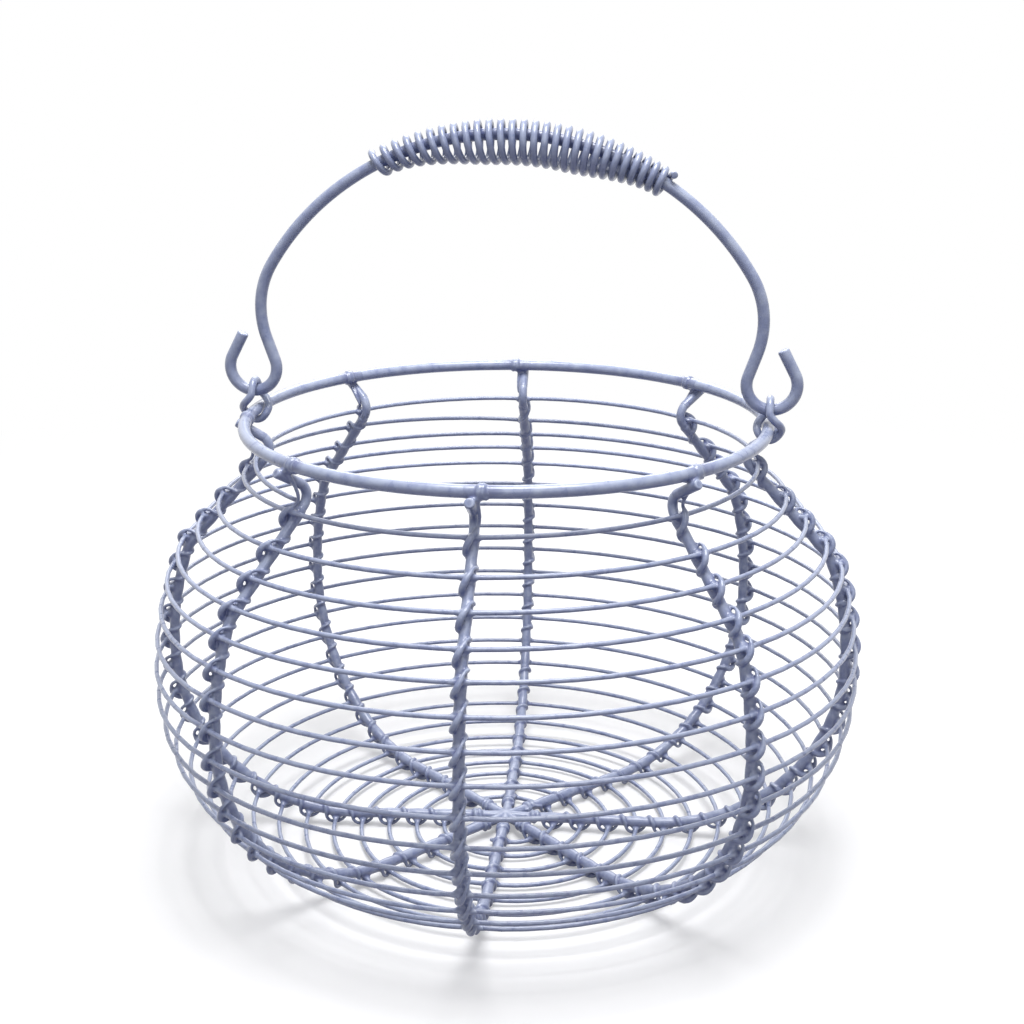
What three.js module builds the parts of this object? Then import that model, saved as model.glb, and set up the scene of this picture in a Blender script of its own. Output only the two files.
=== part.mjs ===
// Wire egg basket: a pot-bellied bowl of one spiralled wire, lashed to eight ribs that hook under a
// rim ring, with a bail handle that hangs in two links and carries a sprung wire grip.
// Millimetres, +Z up, origin on the table under the middle of the base, bail along X.

import * as THREE from 'three';

const toRadians = THREE.MathUtils.degToRad;

// Overall sizes: the height is taken over the turns of wire on the rim
const BODY_HEIGHT = 127;
const BELLY_DIAMETER = 196.85;
const RIM_INSIDE_BELLY = 26.925;

// Wire diameters
const RIM_WIRE = 3.3;
const RIB_WIRE = 2.6;
const SPIRAL_WIRE = 1.4;
const LASH_WIRE = 0.85;
const BAIL_WIRE = 3.2;
const GRIP_WIRE = 1.9;
const LINK_WIRE = 2.1;

// Clearance between wires that touch
const GAP = 0.3;

// Bowl outline, followed by the spiral wire's centre from the base outwards
const LOWER_BOWL_RADIUS = 54;
const UPPER_WALL_RADIUS = 88.7;
const UPPER_WALL_TURN = toRadians(20);
const SHOULDER_RADIUS = 15;

// Ribs: names with their places round the axis, in degrees anticlockwise from +X
const RIB_AZIMUTHS = {
  right: 4,
  back_right: 47,
  back: 95,
  back_left: 140,
  left: 187,
  front_left: 230,
  front: 273,
  front_right: 318,
};
const RIB_END_GAP = 0.85;
const RIB_CURL_RADIUS = 3.8;
const RIB_STUB_SLOPE = toRadians(30);
const RIB_STUB_LENGTH = 5.75;
const RIB_STUB_PAST_RIM = 2.2;

// Spiral wire: it starts at the front rib and ends at the front left one
const SPIRAL_FIRST_RIB = 'front';
const SPIRAL_LAST_RIB = 'front_left';
const SPIRAL_WHOLE_TURNS = 22;
const SPIRAL_FRONT_LEAD = 1.75;
const SPIRAL_NECK_LEAD = 1.6;
const SPIRAL_LEVEL_TURNS = 1.38;
const SPIRAL_LEVEL_EASE = 4;

// Lashings: a turn at each crossing, tight turns at both ends
const LASH_END_TURNS = 2;
const LASH_TURN_GAP = 0.5;
const LASH_FIRST_ANGLE = toRadians(240);
const LASH_RIM_ANGLE = toRadians(-30);
const LASH_RIB_GAP = 0.5;

// Bail, with an upturned hook at each end
const BAIL_RISE = 70.7;
const BAIL_FLATTENED = 1.8;
const BAIL_PAST_HOOK = 4.3;
const BAIL_BEND_RADIUS = 25;
const HOOK_PAST_RIM = 0.4;
const HOOK_RADIUS = 6.65;
const HOOK_LEG_LEAN = toRadians(19);
const HOOK_TIP_LEAN = toRadians(28);
const HOOK_TIP_LENGTH = 7.3;

// Grip coil on the crown of the bail: barrel-shaped, its ends close on the bail
const GRIP_DIAMETER = 12.2;
const GRIP_END_PLAY = 0.05;
const GRIP_SWELL_SHARE = 0.38;
const GRIP_FROM = toRadians(-27.3);
const GRIP_TO = toRadians(33.8);
const GRIP_TURN_GAP = 0.97;
const GRIP_PITCH_EASE = 0.16;

// Links between the hooks and the rim
const LINK_SLACK = 2.1;
const LINK_SIDE_SLACK = 2.2;
const LINK_TWIST_FROM = 0.1;
const LINK_TWIST_TO = 0.75;

// Facets
const RIM_STEPS = 64;
const RIB_STEPS = [1, 10, 3, 3, 1];
const RIB_CURL_STEPS = 7;
const SPIRAL_STEPS_PER_TURN = 24;
const LASH_STEPS_PER_TURN = 6;
const HOOK_STEPS = 12;
const BAIL_BEND_STEPS = 4;
const HALF_ARCH_STEPS = 10;
const GRIP_STEPS_PER_TURN = 8;
const LINK_STEPS = 24;
const ROUND_SIDES = 6;
const GRIP_SIDES = 5;
const SPIRAL_SIDES = 4;
const LASH_SIDES = 3;

// Wires laid on each other
const SPIRAL_TO_RIB = SPIRAL_WIRE / 2 + GAP + RIB_WIRE / 2;
const LASH_TO_RIB = RIB_WIRE / 2 + GAP + LASH_WIRE / 2;
const LASH_OVER_SPIRAL = SPIRAL_TO_RIB + SPIRAL_WIRE / 2 + GAP + LASH_WIRE / 2;
const LASH_FLAT = (LASH_WIRE / 2) * Math.cos(Math.PI / LASH_SIDES);
const LASH_END_PITCH = LASH_WIRE + LASH_TURN_GAP;
const LASH_REACH_ALONG = SPIRAL_WIRE / 2 + GAP + 1.5 * LASH_WIRE;

// Places in the base, where the ribs and their first lashing turns crowd round the middle
const azimuths = Object.values(RIB_AZIMUTHS);
const spacings = azimuths.slice(1).map((azimuth, i) => azimuth - azimuths[i]);
const HALF_SPACING = toRadians(Math.min(...spacings)) / 2;
const RIB_INNER_END = (RIB_WIRE + RIB_END_GAP) / 2 / Math.sin(HALF_SPACING);
const LASH_INNER_START = (LASH_TO_RIB + LASH_WIRE / 2) / Math.sin(HALF_SPACING);
const SPIRAL_START_RADIUS = LASH_INNER_START + LASH_END_TURNS * LASH_END_PITCH + LASH_REACH_ALONG + GAP;

// Places that follow up the side
const BASE_HEIGHT = LASH_OVER_SPIRAL - SPIRAL_TO_RIB + LASH_FLAT;
const BELLY_RADIUS = (BELLY_DIAMETER - SPIRAL_WIRE) / 2;
const RIM_RADIUS = BELLY_RADIUS - RIM_INSIDE_BELLY;
const RIM_HEIGHT = BODY_HEIGHT - LASH_WIRE - GAP - RIM_WIRE / 2;
const LINK_INNER_LENGTH = RIM_WIRE + BAIL_WIRE + 2 * GAP + LINK_SLACK;
const LINK_INNER_WIDTH = Math.max(RIM_WIRE, BAIL_WIRE) + LINK_SIDE_SLACK;
const LINK_FOOT = RIM_HEIGHT - RIM_WIRE / 2 - GAP - LINK_WIRE / 2;
const PIVOT_HEIGHT = LINK_FOOT + LINK_WIRE / 2 + LINK_INNER_LENGTH - GAP - BAIL_WIRE / 2;
const HOOK_PLACE = RIM_RADIUS + HOOK_PAST_RIM;
const BAIL_ARCH_RADIUS = HOOK_PLACE + BAIL_PAST_HOOK;
const ARCH_HEIGHT = PIVOT_HEIGHT + BAIL_RISE + BAIL_FLATTENED - BAIL_ARCH_RADIUS;

const ENAMEL = { color: 0x8f97b6, roughness: 0.38, metalness: 0.0 };

// Unit vectors of the meridian plane at an azimuth
const radial = (azimuth) => new THREE.Vector3(Math.cos(azimuth), Math.sin(azimuth), 0);
const sideways = (azimuth) => new THREE.Vector3(-Math.sin(azimuth), Math.cos(azimuth), 0);
const meridianPoint = (azimuth, radius, height) => radial(azimuth).multiplyScalar(radius).setZ(height);

// A direction in a plane at an angle from its first axis, and a point on a circle there
const towards = (angle) => new THREE.Vector2(Math.cos(angle), Math.sin(angle));
const onCircle = (centre, radius, angle) => towards(angle).multiplyScalar(radius).add(centre);
const rightOf = (direction) => new THREE.Vector2(direction.y, -direction.x);

// A closed tube with flat ends along points. Each point's outward hint turns the section so that a
// corner, or for three sides a flat, faces outwards. A ring of points closes on itself.
function wireGeometry(points, hints, diameter, sides, { ring = false, tangents = [] } = {}) {
  const count = points.length;
  const phase = sides === 3 ? Math.PI : 0;
  const positions = [];
  for (let i = 0; i < count; i += 1) {
    const before = points[ring ? (i + count - 1) % count : Math.max(i - 1, 0)];
    const after = points[ring ? (i + 1) % count : Math.min(i + 1, count - 1)];
    const along = tangents[i] ?? after.clone().sub(before).normalize();
    const across = along.clone().cross(hints[i]).normalize();
    const outward = across.clone().cross(along);
    for (let j = 0; j < sides; j += 1) {
      const angle = phase + (2 * Math.PI * j) / sides;
      const corner = points[i].clone()
        .addScaledVector(outward, (diameter / 2) * Math.cos(angle))
        .addScaledVector(across, (diameter / 2) * Math.sin(angle));
      positions.push(corner.x, corner.y, corner.z);
    }
  }
  const index = [];
  const spans = ring ? count : count - 1;
  for (let i = 0; i < spans; i += 1) {
    const here = i * sides;
    const next = ((i + 1) % count) * sides;
    for (let j = 0; j < sides; j += 1) {
      const turn = (j + 1) % sides;
      index.push(here + j, here + turn, next + j, next + j, here + turn, next + turn);
    }
  }
  if (!ring) {
    const last = (count - 1) * sides;
    for (let j = 1; j < sides - 1; j += 1) {
      index.push(0, j + 1, j, last, last + j, last + j + 1);
    }
  }
  const geometry = new THREE.BufferGeometry();
  geometry.setAttribute('position', new THREE.Float32BufferAttribute(positions, 3));
  geometry.setIndex(index);
  geometry.computeVertexNormals();
  return geometry;
}

// Lengthens a wire by one diameter at both ends, straight on
function addStraightTips(points, hints, diameter) {
  const tip = (end, inner) => end.clone().addScaledVector(end.clone().sub(inner).normalize(), diameter);
  points.unshift(tip(points[0], points[1]));
  points.push(tip(points.at(-1), points.at(-2)));
  hints.unshift(hints[0].clone());
  hints.push(hints.at(-1).clone());
}

// The least gap of a winding to itself, measured between its points more than half a turn apart
function leastSelfGap(points, diameter, stepsPerTurn) {
  const apart = Math.ceil(stepsPerTurn / 2);
  let least = Infinity;
  for (let i = 0; i < points.length; i += 1) {
    for (let j = i + apart; j < points.length; j += 1) {
      least = Math.min(least, points[i].distanceTo(points[j]));
    }
  }
  return least - diameter;
}

function reportGap(name, points, diameter, stepsPerTurn) {
  const gap = leastSelfGap(points, diameter, stepsPerTurn);
  console.log(`${name}: least gap to itself ${gap.toFixed(2)} mm`);
}

// The rib's head: its neck curls round and runs back out as a stub under the rim
const STUB_TO = towards(RIB_STUB_SLOPE);
const STUB_UNDER_RIM = new THREE.Vector2(RIM_RADIUS, RIM_HEIGHT)
  .addScaledVector(rightOf(STUB_TO), RIM_WIRE / 2 + GAP + RIB_WIRE / 2);
const STUB_END = STUB_UNDER_RIM.clone().addScaledVector(STUB_TO, RIB_STUB_PAST_RIM);
const CURL_CENTRE = STUB_UNDER_RIM.clone()
  .addScaledVector(STUB_TO, -RIB_STUB_LENGTH)
  .addScaledVector(rightOf(STUB_TO), RIB_CURL_RADIUS);

// The neck is the straight line that touches the shoulder's arc and the rib's curl
const SHOULDER_CENTRE = new THREE.Vector2(BELLY_RADIUS - UPPER_WALL_RADIUS, BASE_HEIGHT + LOWER_BOWL_RADIUS)
  .addScaledVector(towards(UPPER_WALL_TURN), UPPER_WALL_RADIUS - SHOULDER_RADIUS);
const SHOULDER_TO_CURL = CURL_CENTRE.clone().sub(SHOULDER_CENTRE);
const NECK_BENDS = SHOULDER_RADIUS - SPIRAL_TO_RIB + RIB_CURL_RADIUS;
const NECK_HEADING = SHOULDER_TO_CURL.angle() + Math.asin(NECK_BENDS / SHOULDER_TO_CURL.length());
const NECK_LENGTH = Math.sqrt(SHOULDER_TO_CURL.lengthSq() - NECK_BENDS ** 2);

// Bowl outline as straights and arcs in the meridian plane. Each piece has its length, and a
// function from the distance along it to radius, height and heading. An inset moves it inwards.
function bowlOutline(inset, innerRadius) {
  const pieces = [];
  let heading = 0;
  let at = new THREE.Vector2(innerRadius, BASE_HEIGHT + inset);

  const addPiece = (length, place) => {
    pieces.push({ length, place });
    const end = place(length);
    at = new THREE.Vector2(end.r, end.z);
    heading = end.heading;
  };
  const straight = (length) => {
    const start = at;
    const angle = heading;
    addPiece(length, (d) => ({
      r: start.x + d * Math.cos(angle),
      z: start.y + d * Math.sin(angle),
      heading: angle,
    }));
  };
  const arcTo = (radius, endHeading) => {
    const first = heading;
    const centre = at.clone().addScaledVector(rightOf(towards(first)), -radius);
    addPiece(radius * (endHeading - first), (d) => {
      const angle = first + d / radius;
      const place = rightOf(towards(angle)).multiplyScalar(radius).add(centre);
      return { r: place.x, z: place.y, heading: angle };
    });
  };

  straight(BELLY_RADIUS - LOWER_BOWL_RADIUS - innerRadius);
  arcTo(LOWER_BOWL_RADIUS - inset, Math.PI / 2);
  arcTo(UPPER_WALL_RADIUS - inset, Math.PI / 2 + UPPER_WALL_TURN);
  arcTo(SHOULDER_RADIUS - inset, NECK_HEADING);
  straight(NECK_LENGTH);
  return pieces;
}

const ribOutline = bowlOutline(SPIRAL_TO_RIB, RIB_INNER_END);
const spiralOutline = bowlOutline(0, SPIRAL_START_RADIUS);

// Radius, height and heading of the spiral's outline at a distance from its inner end
function onSpiralOutline(distance) {
  let left = distance;
  let piece = spiralOutline[0];
  for (const next of spiralOutline.slice(1)) {
    if (left <= piece.length) {
      break;
    }
    left -= piece.length;
    piece = next;
  }
  return piece.place(left);
}

// The spiral climbs along its outline from one rib to another
const turnsFrom = (from, to) => THREE.MathUtils.euclideanModulo((to - from) / 360, 1);
const SPIRAL_START = RIB_AZIMUTHS[SPIRAL_FIRST_RIB];
const SPIRAL_TURNS = SPIRAL_WHOLE_TURNS + turnsFrom(SPIRAL_START, RIB_AZIMUTHS[SPIRAL_LAST_RIB]);
const SPIRAL_LENGTH = spiralOutline.reduce((sum, piece) => sum + piece.length, 0);
const SPIRAL_PITCH = SPIRAL_LENGTH / SPIRAL_TURNS;

// How far up its outline the spiral is after some turns. It climbs evenly, but on the wall a little
// higher at the front than at the back, and more so up the neck. The last turn runs up under the
// ribs' curls and lies level.
function spiralDistance(turns) {
  const levelFrom = SPIRAL_TURNS - SPIRAL_LEVEL_TURNS;
  if (turns > levelFrom) {
    const left = (SPIRAL_TURNS - turns) / SPIRAL_LEVEL_TURNS;
    return SPIRAL_LENGTH - (SPIRAL_LENGTH - spiralDistance(levelFrom)) * left ** SPIRAL_LEVEL_EASE;
  }
  const even = SPIRAL_PITCH * turns;
  const lead = SPIRAL_FRONT_LEAD * Math.sin(onSpiralOutline(even).heading);
  const neckFrom = SPIRAL_LENGTH - NECK_LENGTH;
  const upNeck = THREE.MathUtils.smoothstep(even, neckFrom, neckFrom + NECK_LENGTH / 2);
  const frontness = Math.cos(2 * Math.PI * turns);
  return even + lead * frontness + (SPIRAL_NECK_LEAD * upNeck * (1 + frontness)) / 2;
}

// Rim ring
function rimGeometry() {
  const points = [];
  const hints = [];
  for (let i = 0; i < RIM_STEPS; i += 1) {
    const azimuth = (2 * Math.PI * i) / RIM_STEPS;
    points.push(meridianPoint(azimuth, RIM_RADIUS, RIM_HEIGHT));
    hints.push(radial(azimuth));
  }
  return wireGeometry(points, hints, RIM_WIRE, ROUND_SIDES, { ring: true });
}

// One rib, from beside the base's middle up to its stub just past the rim
function ribGeometry(degrees) {
  const azimuth = toRadians(degrees);
  const { r: firstR, z: firstZ } = ribOutline[0].place(0);
  const places = [new THREE.Vector2(firstR, firstZ)];
  ribOutline.forEach((piece, k) => {
    for (let i = 1; i <= RIB_STEPS[k]; i += 1) {
      const { r, z } = piece.place((piece.length * i) / RIB_STEPS[k]);
      places.push(new THREE.Vector2(r, z));
    }
  });
  const curlFrom = NECK_HEADING + Math.PI / 2;
  const curlTo = RIB_STUB_SLOPE + Math.PI / 2;
  for (let i = 1; i <= RIB_CURL_STEPS; i += 1) {
    const angle = curlFrom + ((curlTo - curlFrom) * i) / RIB_CURL_STEPS;
    places.push(onCircle(CURL_CENTRE, RIB_CURL_RADIUS, angle));
  }
  places.push(STUB_END);
  const points = places.map((place) => meridianPoint(azimuth, place.x, place.y));
  const hints = points.map(() => sideways(azimuth));
  return wireGeometry(points, hints, RIB_WIRE, ROUND_SIDES);
}

// The spiral wire, anticlockwise from the base's middle up to the neck, with straight tips
function spiralGeometry() {
  const steps = Math.round(SPIRAL_TURNS * SPIRAL_STEPS_PER_TURN);
  const points = [];
  const hints = [];
  for (let i = 0; i <= steps; i += 1) {
    const turns = (SPIRAL_TURNS * i) / steps;
    const azimuth = toRadians(SPIRAL_START) + 2 * Math.PI * turns;
    const { r, z, heading } = onSpiralOutline(spiralDistance(turns));
    points.push(meridianPoint(azimuth, r, z));
    hints.push(meridianPoint(azimuth, Math.sin(heading), -Math.cos(heading)));
  }
  addStraightTips(points, hints, SPIRAL_WIRE);
  reportGap('spiral_wire', points, SPIRAL_WIRE, SPIRAL_STEPS_PER_TURN);
  return wireGeometry(points, hints, SPIRAL_WIRE, SPIRAL_SIDES);
}

// A lashing: tight turns on the rib's inner end, a turn over each crossing, and turns on the rim
function lashingGeometry(name, degrees) {
  const azimuth = toRadians(degrees);
  const ahead = sideways(azimuth);
  const cornerReach = 1 / Math.cos(Math.PI / LASH_STEPS_PER_TURN);
  const endSteps = LASH_END_TURNS * LASH_STEPS_PER_TURN;
  const points = [];
  const hints = [];
  const tangents = [];

  // The rib's centre line beside the spiral's outline at a distance, with its directions there
  const frameAt = (distance) => {
    const { r, z, heading } = onSpiralOutline(distance);
    const along = meridianPoint(azimuth, Math.cos(heading), Math.sin(heading));
    const outward = meridianPoint(azimuth, Math.sin(heading), -Math.cos(heading));
    const origin = meridianPoint(azimuth, r, z).addScaledVector(outward, -SPIRAL_TO_RIB);
    return { origin, along, outward };
  };
  const place = (frame, along, side, out) => {
    const across = ahead.clone().multiplyScalar(side).addScaledVector(frame.outward, out);
    points.push(frame.origin.clone().addScaledVector(frame.along, along).add(across));
    hints.push(across.normalize());
  };

  // Tight turns near the base's middle
  const innerFrame = frameAt(0);
  const wrapRadius = LASH_TO_RIB * cornerReach;
  for (let i = 0; i <= endSteps; i += 1) {
    const turns = i / LASH_STEPS_PER_TURN;
    const angle = LASH_FIRST_ANGLE + 2 * Math.PI * turns;
    const along = LASH_INNER_START - SPIRAL_START_RADIUS + LASH_END_PITCH * turns;
    place(innerFrame, along, wrapRadius * Math.sin(angle), wrapRadius * Math.cos(angle));
  }

  // One turn over each crossing with the spiral wire
  const crossings = [];
  const lastTurn = SPIRAL_TURNS - SPIRAL_WIRE / SPIRAL_PITCH;
  for (let turns = turnsFrom(SPIRAL_START, degrees); turns < lastTurn; turns += 1) {
    crossings.push(spiralDistance(turns));
  }
  const sideOut = LASH_TO_RIB + GAP;
  const overHalf = (SPIRAL_WIRE + GAP) / 2;
  const overSide = LASH_WIRE / Math.SQRT2;
  crossings.forEach((distance, k) => {
    const frame = frameAt(distance);
    if (k > 0) {
      const back = frameAt((crossings[k - 1] + distance) / 2);
      place(back, -SPIRAL_WIRE / 2, RIB_WIRE / 2, -LASH_TO_RIB);
      place(back, SPIRAL_WIRE / 2, -RIB_WIRE / 2, -LASH_TO_RIB);
    }
    place(frame, -LASH_REACH_ALONG, -sideOut, LASH_WIRE);
    const first = points.length;
    for (const end of [-1, 1]) {
      const overFrame = frameAt(distance + end * overHalf);
      place(overFrame, 0, end * overSide, LASH_OVER_SPIRAL);
      hints[points.length - 1] = overFrame.outward;
    }
    const over = points[first + 1].clone().sub(points[first]).normalize();
    tangents[first] = over;
    tangents[first + 1] = over;
    if (k < crossings.length - 1) {
      place(frame, LASH_REACH_ALONG, sideOut, LASH_WIRE);
    }
  });

  // Turns on the rim, on the anticlockwise side of the rib
  const rimWrapRadius = (RIM_WIRE / 2 + GAP + LASH_WIRE / 2) * cornerReach;
  const rimSide = (RIB_WIRE + LASH_WIRE) / 2 + LASH_RIB_GAP;
  for (let i = 0; i <= endSteps; i += 1) {
    const turns = i / LASH_STEPS_PER_TURN;
    const angle = LASH_RIM_ANGLE + 2 * Math.PI * turns;
    const wrapAzimuth = azimuth + (rimSide + LASH_END_PITCH * turns) / RIM_RADIUS;
    const out = meridianPoint(wrapAzimuth, Math.cos(angle), Math.sin(angle));
    const onRim = meridianPoint(wrapAzimuth, RIM_RADIUS, RIM_HEIGHT);
    points.push(onRim.addScaledVector(out, rimWrapRadius));
    hints.push(out);
  }
  reportGap(name, points, LASH_WIRE, LASH_STEPS_PER_TURN);
  return wireGeometry(points, hints, LASH_WIRE, LASH_SIDES, { tangents });
}

// Centre of the bend between the leg of a hook and the arch: its circle touches both
function bendPlace() {
  const archCentre = new THREE.Vector2(0, ARCH_HEIGHT);
  const hookCentre = new THREE.Vector2(HOOK_PLACE, PIVOT_HEIGHT + HOOK_RADIUS);
  const legUp = towards(Math.PI / 2 - HOOK_LEG_LEAN);
  const bendFoot = onCircle(hookCentre, HOOK_RADIUS, -Math.PI - HOOK_LEG_LEAN)
    .addScaledVector(rightOf(legUp), -BAIL_BEND_RADIUS)
    .sub(archCentre);
  const reach = BAIL_ARCH_RADIUS - BAIL_BEND_RADIUS;
  const half = bendFoot.dot(legUp);
  const legLength = Math.sqrt(half * half - bendFoot.lengthSq() + reach * reach) - half;
  return bendFoot.addScaledVector(legUp, legLength).add(archCentre);
}

// Height on the bail after its crown is flattened: only what is above its widest place moves
function flattened(height) {
  const widest = bendPlace().y;
  const roundCrown = ARCH_HEIGHT + BAIL_ARCH_RADIUS;
  return height - (BAIL_FLATTENED * Math.max(0, height - widest)) / (roundCrown - widest);
}

// Bail centre line in its own plane, from the right hook's tip over the crown to the left one's
function bailPlaces() {
  const places = [];
  const arcTo = (centre, radius, from, to, steps) => {
    for (let i = 0; i <= steps; i += 1) {
      const place = onCircle(centre, radius, from + ((to - from) * i) / steps);
      places.push(place.setY(flattened(place.y)));
    }
  };

  // Hook: tip, round bottom, and leg
  const hookCentre = new THREE.Vector2(HOOK_PLACE, PIVOT_HEIGHT + HOOK_RADIUS);
  const tipUp = towards(HOOK_TIP_LEAN + Math.PI / 2);
  const tipFoot = onCircle(hookCentre, HOOK_RADIUS, HOOK_TIP_LEAN);
  places.push(tipFoot.addScaledVector(tipUp, HOOK_TIP_LENGTH));
  arcTo(hookCentre, HOOK_RADIUS, HOOK_TIP_LEAN, -Math.PI - HOOK_LEG_LEAN, HOOK_STEPS);

  // Bend and arch
  const archCentre = new THREE.Vector2(0, ARCH_HEIGHT);
  const bendCentre = bendPlace();
  const archFrom = bendCentre.clone().sub(archCentre).angle();
  arcTo(bendCentre, BAIL_BEND_RADIUS, -HOOK_LEG_LEAN, archFrom, BAIL_BEND_STEPS);
  places.pop();
  arcTo(archCentre, BAIL_ARCH_RADIUS, archFrom, Math.PI / 2, HALF_ARCH_STEPS);

  const otherHalf = places.slice(0, -1).reverse();
  return places.concat(otherHalf.map((p) => new THREE.Vector2(-p.x, p.y)));
}

function bailGeometry() {
  const points = bailPlaces().map((p) => new THREE.Vector3(p.x, 0, p.y));
  const hints = points.map(() => new THREE.Vector3(0, 1, 0));
  return wireGeometry(points, hints, BAIL_WIRE, ROUND_SIDES);
}

// Grip coil: a right-handed loose spring, wider in its middle, that hangs on the crown of the bail
function gripGeometry() {
  const turns = Math.round((BAIL_ARCH_RADIUS * (GRIP_TO - GRIP_FROM)) / (GRIP_WIRE + GRIP_TURN_GAP));
  const steps = turns * GRIP_STEPS_PER_TURN;
  const flatShare = Math.cos(Math.PI / GRIP_STEPS_PER_TURN);
  const onBail = BAIL_WIRE / 2 + GAP + GRIP_WIRE / 2;
  const endRadius = (onBail + GRIP_END_PLAY) / flatShare;
  const middleRadius = (GRIP_DIAMETER - GRIP_WIRE) / 2;
  const frontwards = new THREE.Vector3(0, -1, 0);
  const points = [];
  const hints = [];
  for (let i = 0; i <= steps; i += 1) {
    const t = i / steps;
    const swell = THREE.MathUtils.smoothstep(Math.min(t, 1 - t), 0, GRIP_SWELL_SHARE);
    const radius = THREE.MathUtils.lerp(endRadius, middleRadius, swell);
    const lean = THREE.MathUtils.lerp(GRIP_FROM, GRIP_TO, t + GRIP_PITCH_EASE * t * (1 - t));
    const up = new THREE.Vector3(Math.sin(lean), 0, Math.cos(lean));
    const hang = radius * flatShare - onBail;
    const turn = (2 * Math.PI * i) / GRIP_STEPS_PER_TURN;
    const out = up.clone().multiplyScalar(Math.cos(turn)).addScaledVector(frontwards, Math.sin(turn));
    const onArch = up.clone().multiplyScalar(BAIL_ARCH_RADIUS);
    onArch.z = flattened(onArch.z + ARCH_HEIGHT);
    points.push(onArch.addScaledVector(up, -hang).addScaledVector(out, radius));
    hints.push(out);
  }
  addStraightTips(points, hints, GRIP_WIRE);
  reportGap('grip_coil', points, GRIP_WIRE, GRIP_STEPS_PER_TURN);
  return wireGeometry(points, hints, GRIP_WIRE, GRIP_SIDES);
}

// A link: an oval ring, twisted so that its foot goes square round the rim and its head round the
// hook. Its front strand runs from before the hook to outside the rim.
function linkGeometry(outwardSign) {
  const halfWidth = (LINK_INNER_WIDTH + LINK_WIRE) / 2;
  const halfLength = (LINK_INNER_LENGTH + LINK_WIRE) / 2;
  const centreOut = (RIM_RADIUS + HOOK_PLACE) / 2;
  const centre = new THREE.Vector3(outwardSign * centreOut, 0, LINK_FOOT + halfLength);
  const outwards = new THREE.Vector3(outwardSign, 0, 0);
  const frontwards = new THREE.Vector3(0, -1, 0);
  const upwards = new THREE.Vector3(0, 0, 1);
  const points = [];
  const hints = [];
  for (let i = 0; i < LINK_STEPS; i += 1) {
    const angle = (2 * Math.PI * i) / LINK_STEPS;
    const riseShare = (Math.sin(angle) + 1) / 2;
    const twist = (Math.PI / 2) * THREE.MathUtils.smoothstep(riseShare, LINK_TWIST_FROM, LINK_TWIST_TO);
    const sideTo = outwards.clone()
      .multiplyScalar(Math.cos(twist))
      .addScaledVector(frontwards, Math.sin(twist));
    points.push(centre.clone()
      .addScaledVector(sideTo, halfWidth * Math.cos(angle))
      .addScaledVector(upwards, halfLength * Math.sin(angle)));
    hints.push(sideTo.cross(upwards));
  }
  return wireGeometry(points, hints, LINK_WIRE, ROUND_SIDES, { ring: true });
}

// Assembly
const basket = new THREE.Group();

function addWire(name, geometry) {
  const mesh = new THREE.Mesh(geometry, new THREE.MeshStandardMaterial(ENAMEL));
  mesh.name = name;
  basket.add(mesh);
}

addWire('rim_ring', rimGeometry());
addWire('spiral_wire', spiralGeometry());
for (const [place, degrees] of Object.entries(RIB_AZIMUTHS)) {
  addWire(`rib_${place}`, ribGeometry(degrees));
  addWire(`lashing_${place}`, lashingGeometry(`lashing_${place}`, degrees));
}
addWire('handle_bail', bailGeometry());
addWire('grip_coil', gripGeometry());
addWire('link_left', linkGeometry(-1));
addWire('link_right', linkGeometry(1));

export default basket;
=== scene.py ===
"""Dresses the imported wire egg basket: round enamelled wires, lashings, studio light and camera.

Lengths are millimetres in the part's own frame (+Z up, origin under the base) until a mesh is made.
"""

from __future__ import annotations

import logging
import math
from collections.abc import Sequence
from dataclasses import dataclass, field
from enum import Enum

import bpy
import numpy as np
from mathutils import Matrix, Vector

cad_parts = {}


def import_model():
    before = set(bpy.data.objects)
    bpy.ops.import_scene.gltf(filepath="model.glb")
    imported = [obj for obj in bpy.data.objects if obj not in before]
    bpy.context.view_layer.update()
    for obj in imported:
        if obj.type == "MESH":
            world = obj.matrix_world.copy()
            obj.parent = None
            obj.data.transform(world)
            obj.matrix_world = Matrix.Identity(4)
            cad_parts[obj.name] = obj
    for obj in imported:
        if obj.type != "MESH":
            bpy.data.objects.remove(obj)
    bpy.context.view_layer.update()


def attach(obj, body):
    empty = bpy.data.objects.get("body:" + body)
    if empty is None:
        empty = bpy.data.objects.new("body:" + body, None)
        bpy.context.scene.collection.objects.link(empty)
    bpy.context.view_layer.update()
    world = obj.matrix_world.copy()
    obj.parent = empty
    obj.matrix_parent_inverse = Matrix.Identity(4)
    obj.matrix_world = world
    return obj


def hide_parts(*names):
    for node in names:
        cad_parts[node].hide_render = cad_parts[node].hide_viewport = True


LOG = logging.getLogger("egg_basket")
MM = 0.001
# How much enamel has pooled at each point, and on the grip coil and the bail under it painted shade too
POOL_AND_SHADE_ATTRIBUTE = "enamel_pool_and_shade"
FULL_TURN = 2 * math.pi
UPWARDS = np.array([0.0, 0.0, 1.0])
FRONTWARDS = np.array([0.0, -1.0, 0.0])

# The rim's centre line, which the ribs, the lashings and the links are set against
RIM_RADIUS = 70.8
RIM_HEIGHT = 124.2

# Numbers of the Mix node's colour sockets, which share their names with its other sockets
MIX_FIRST_COLOR = 6
MIX_SECOND_COLOR = 7
MIX_COLOR = 2


class Body(Enum):
    """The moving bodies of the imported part."""

    BASKET = "basket"
    HANDLE = "handle"
    LEFT_LINK = "left_link"
    RIGHT_LINK = "right_link"


class Slot(Enum):
    """The record's material slots."""

    HEAVY = "heavy_wire_enamel"
    SPIRAL = "spiral_enamel"
    LASHING = "lashing_enamel"
    GRIP = "grip_enamel"


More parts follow.
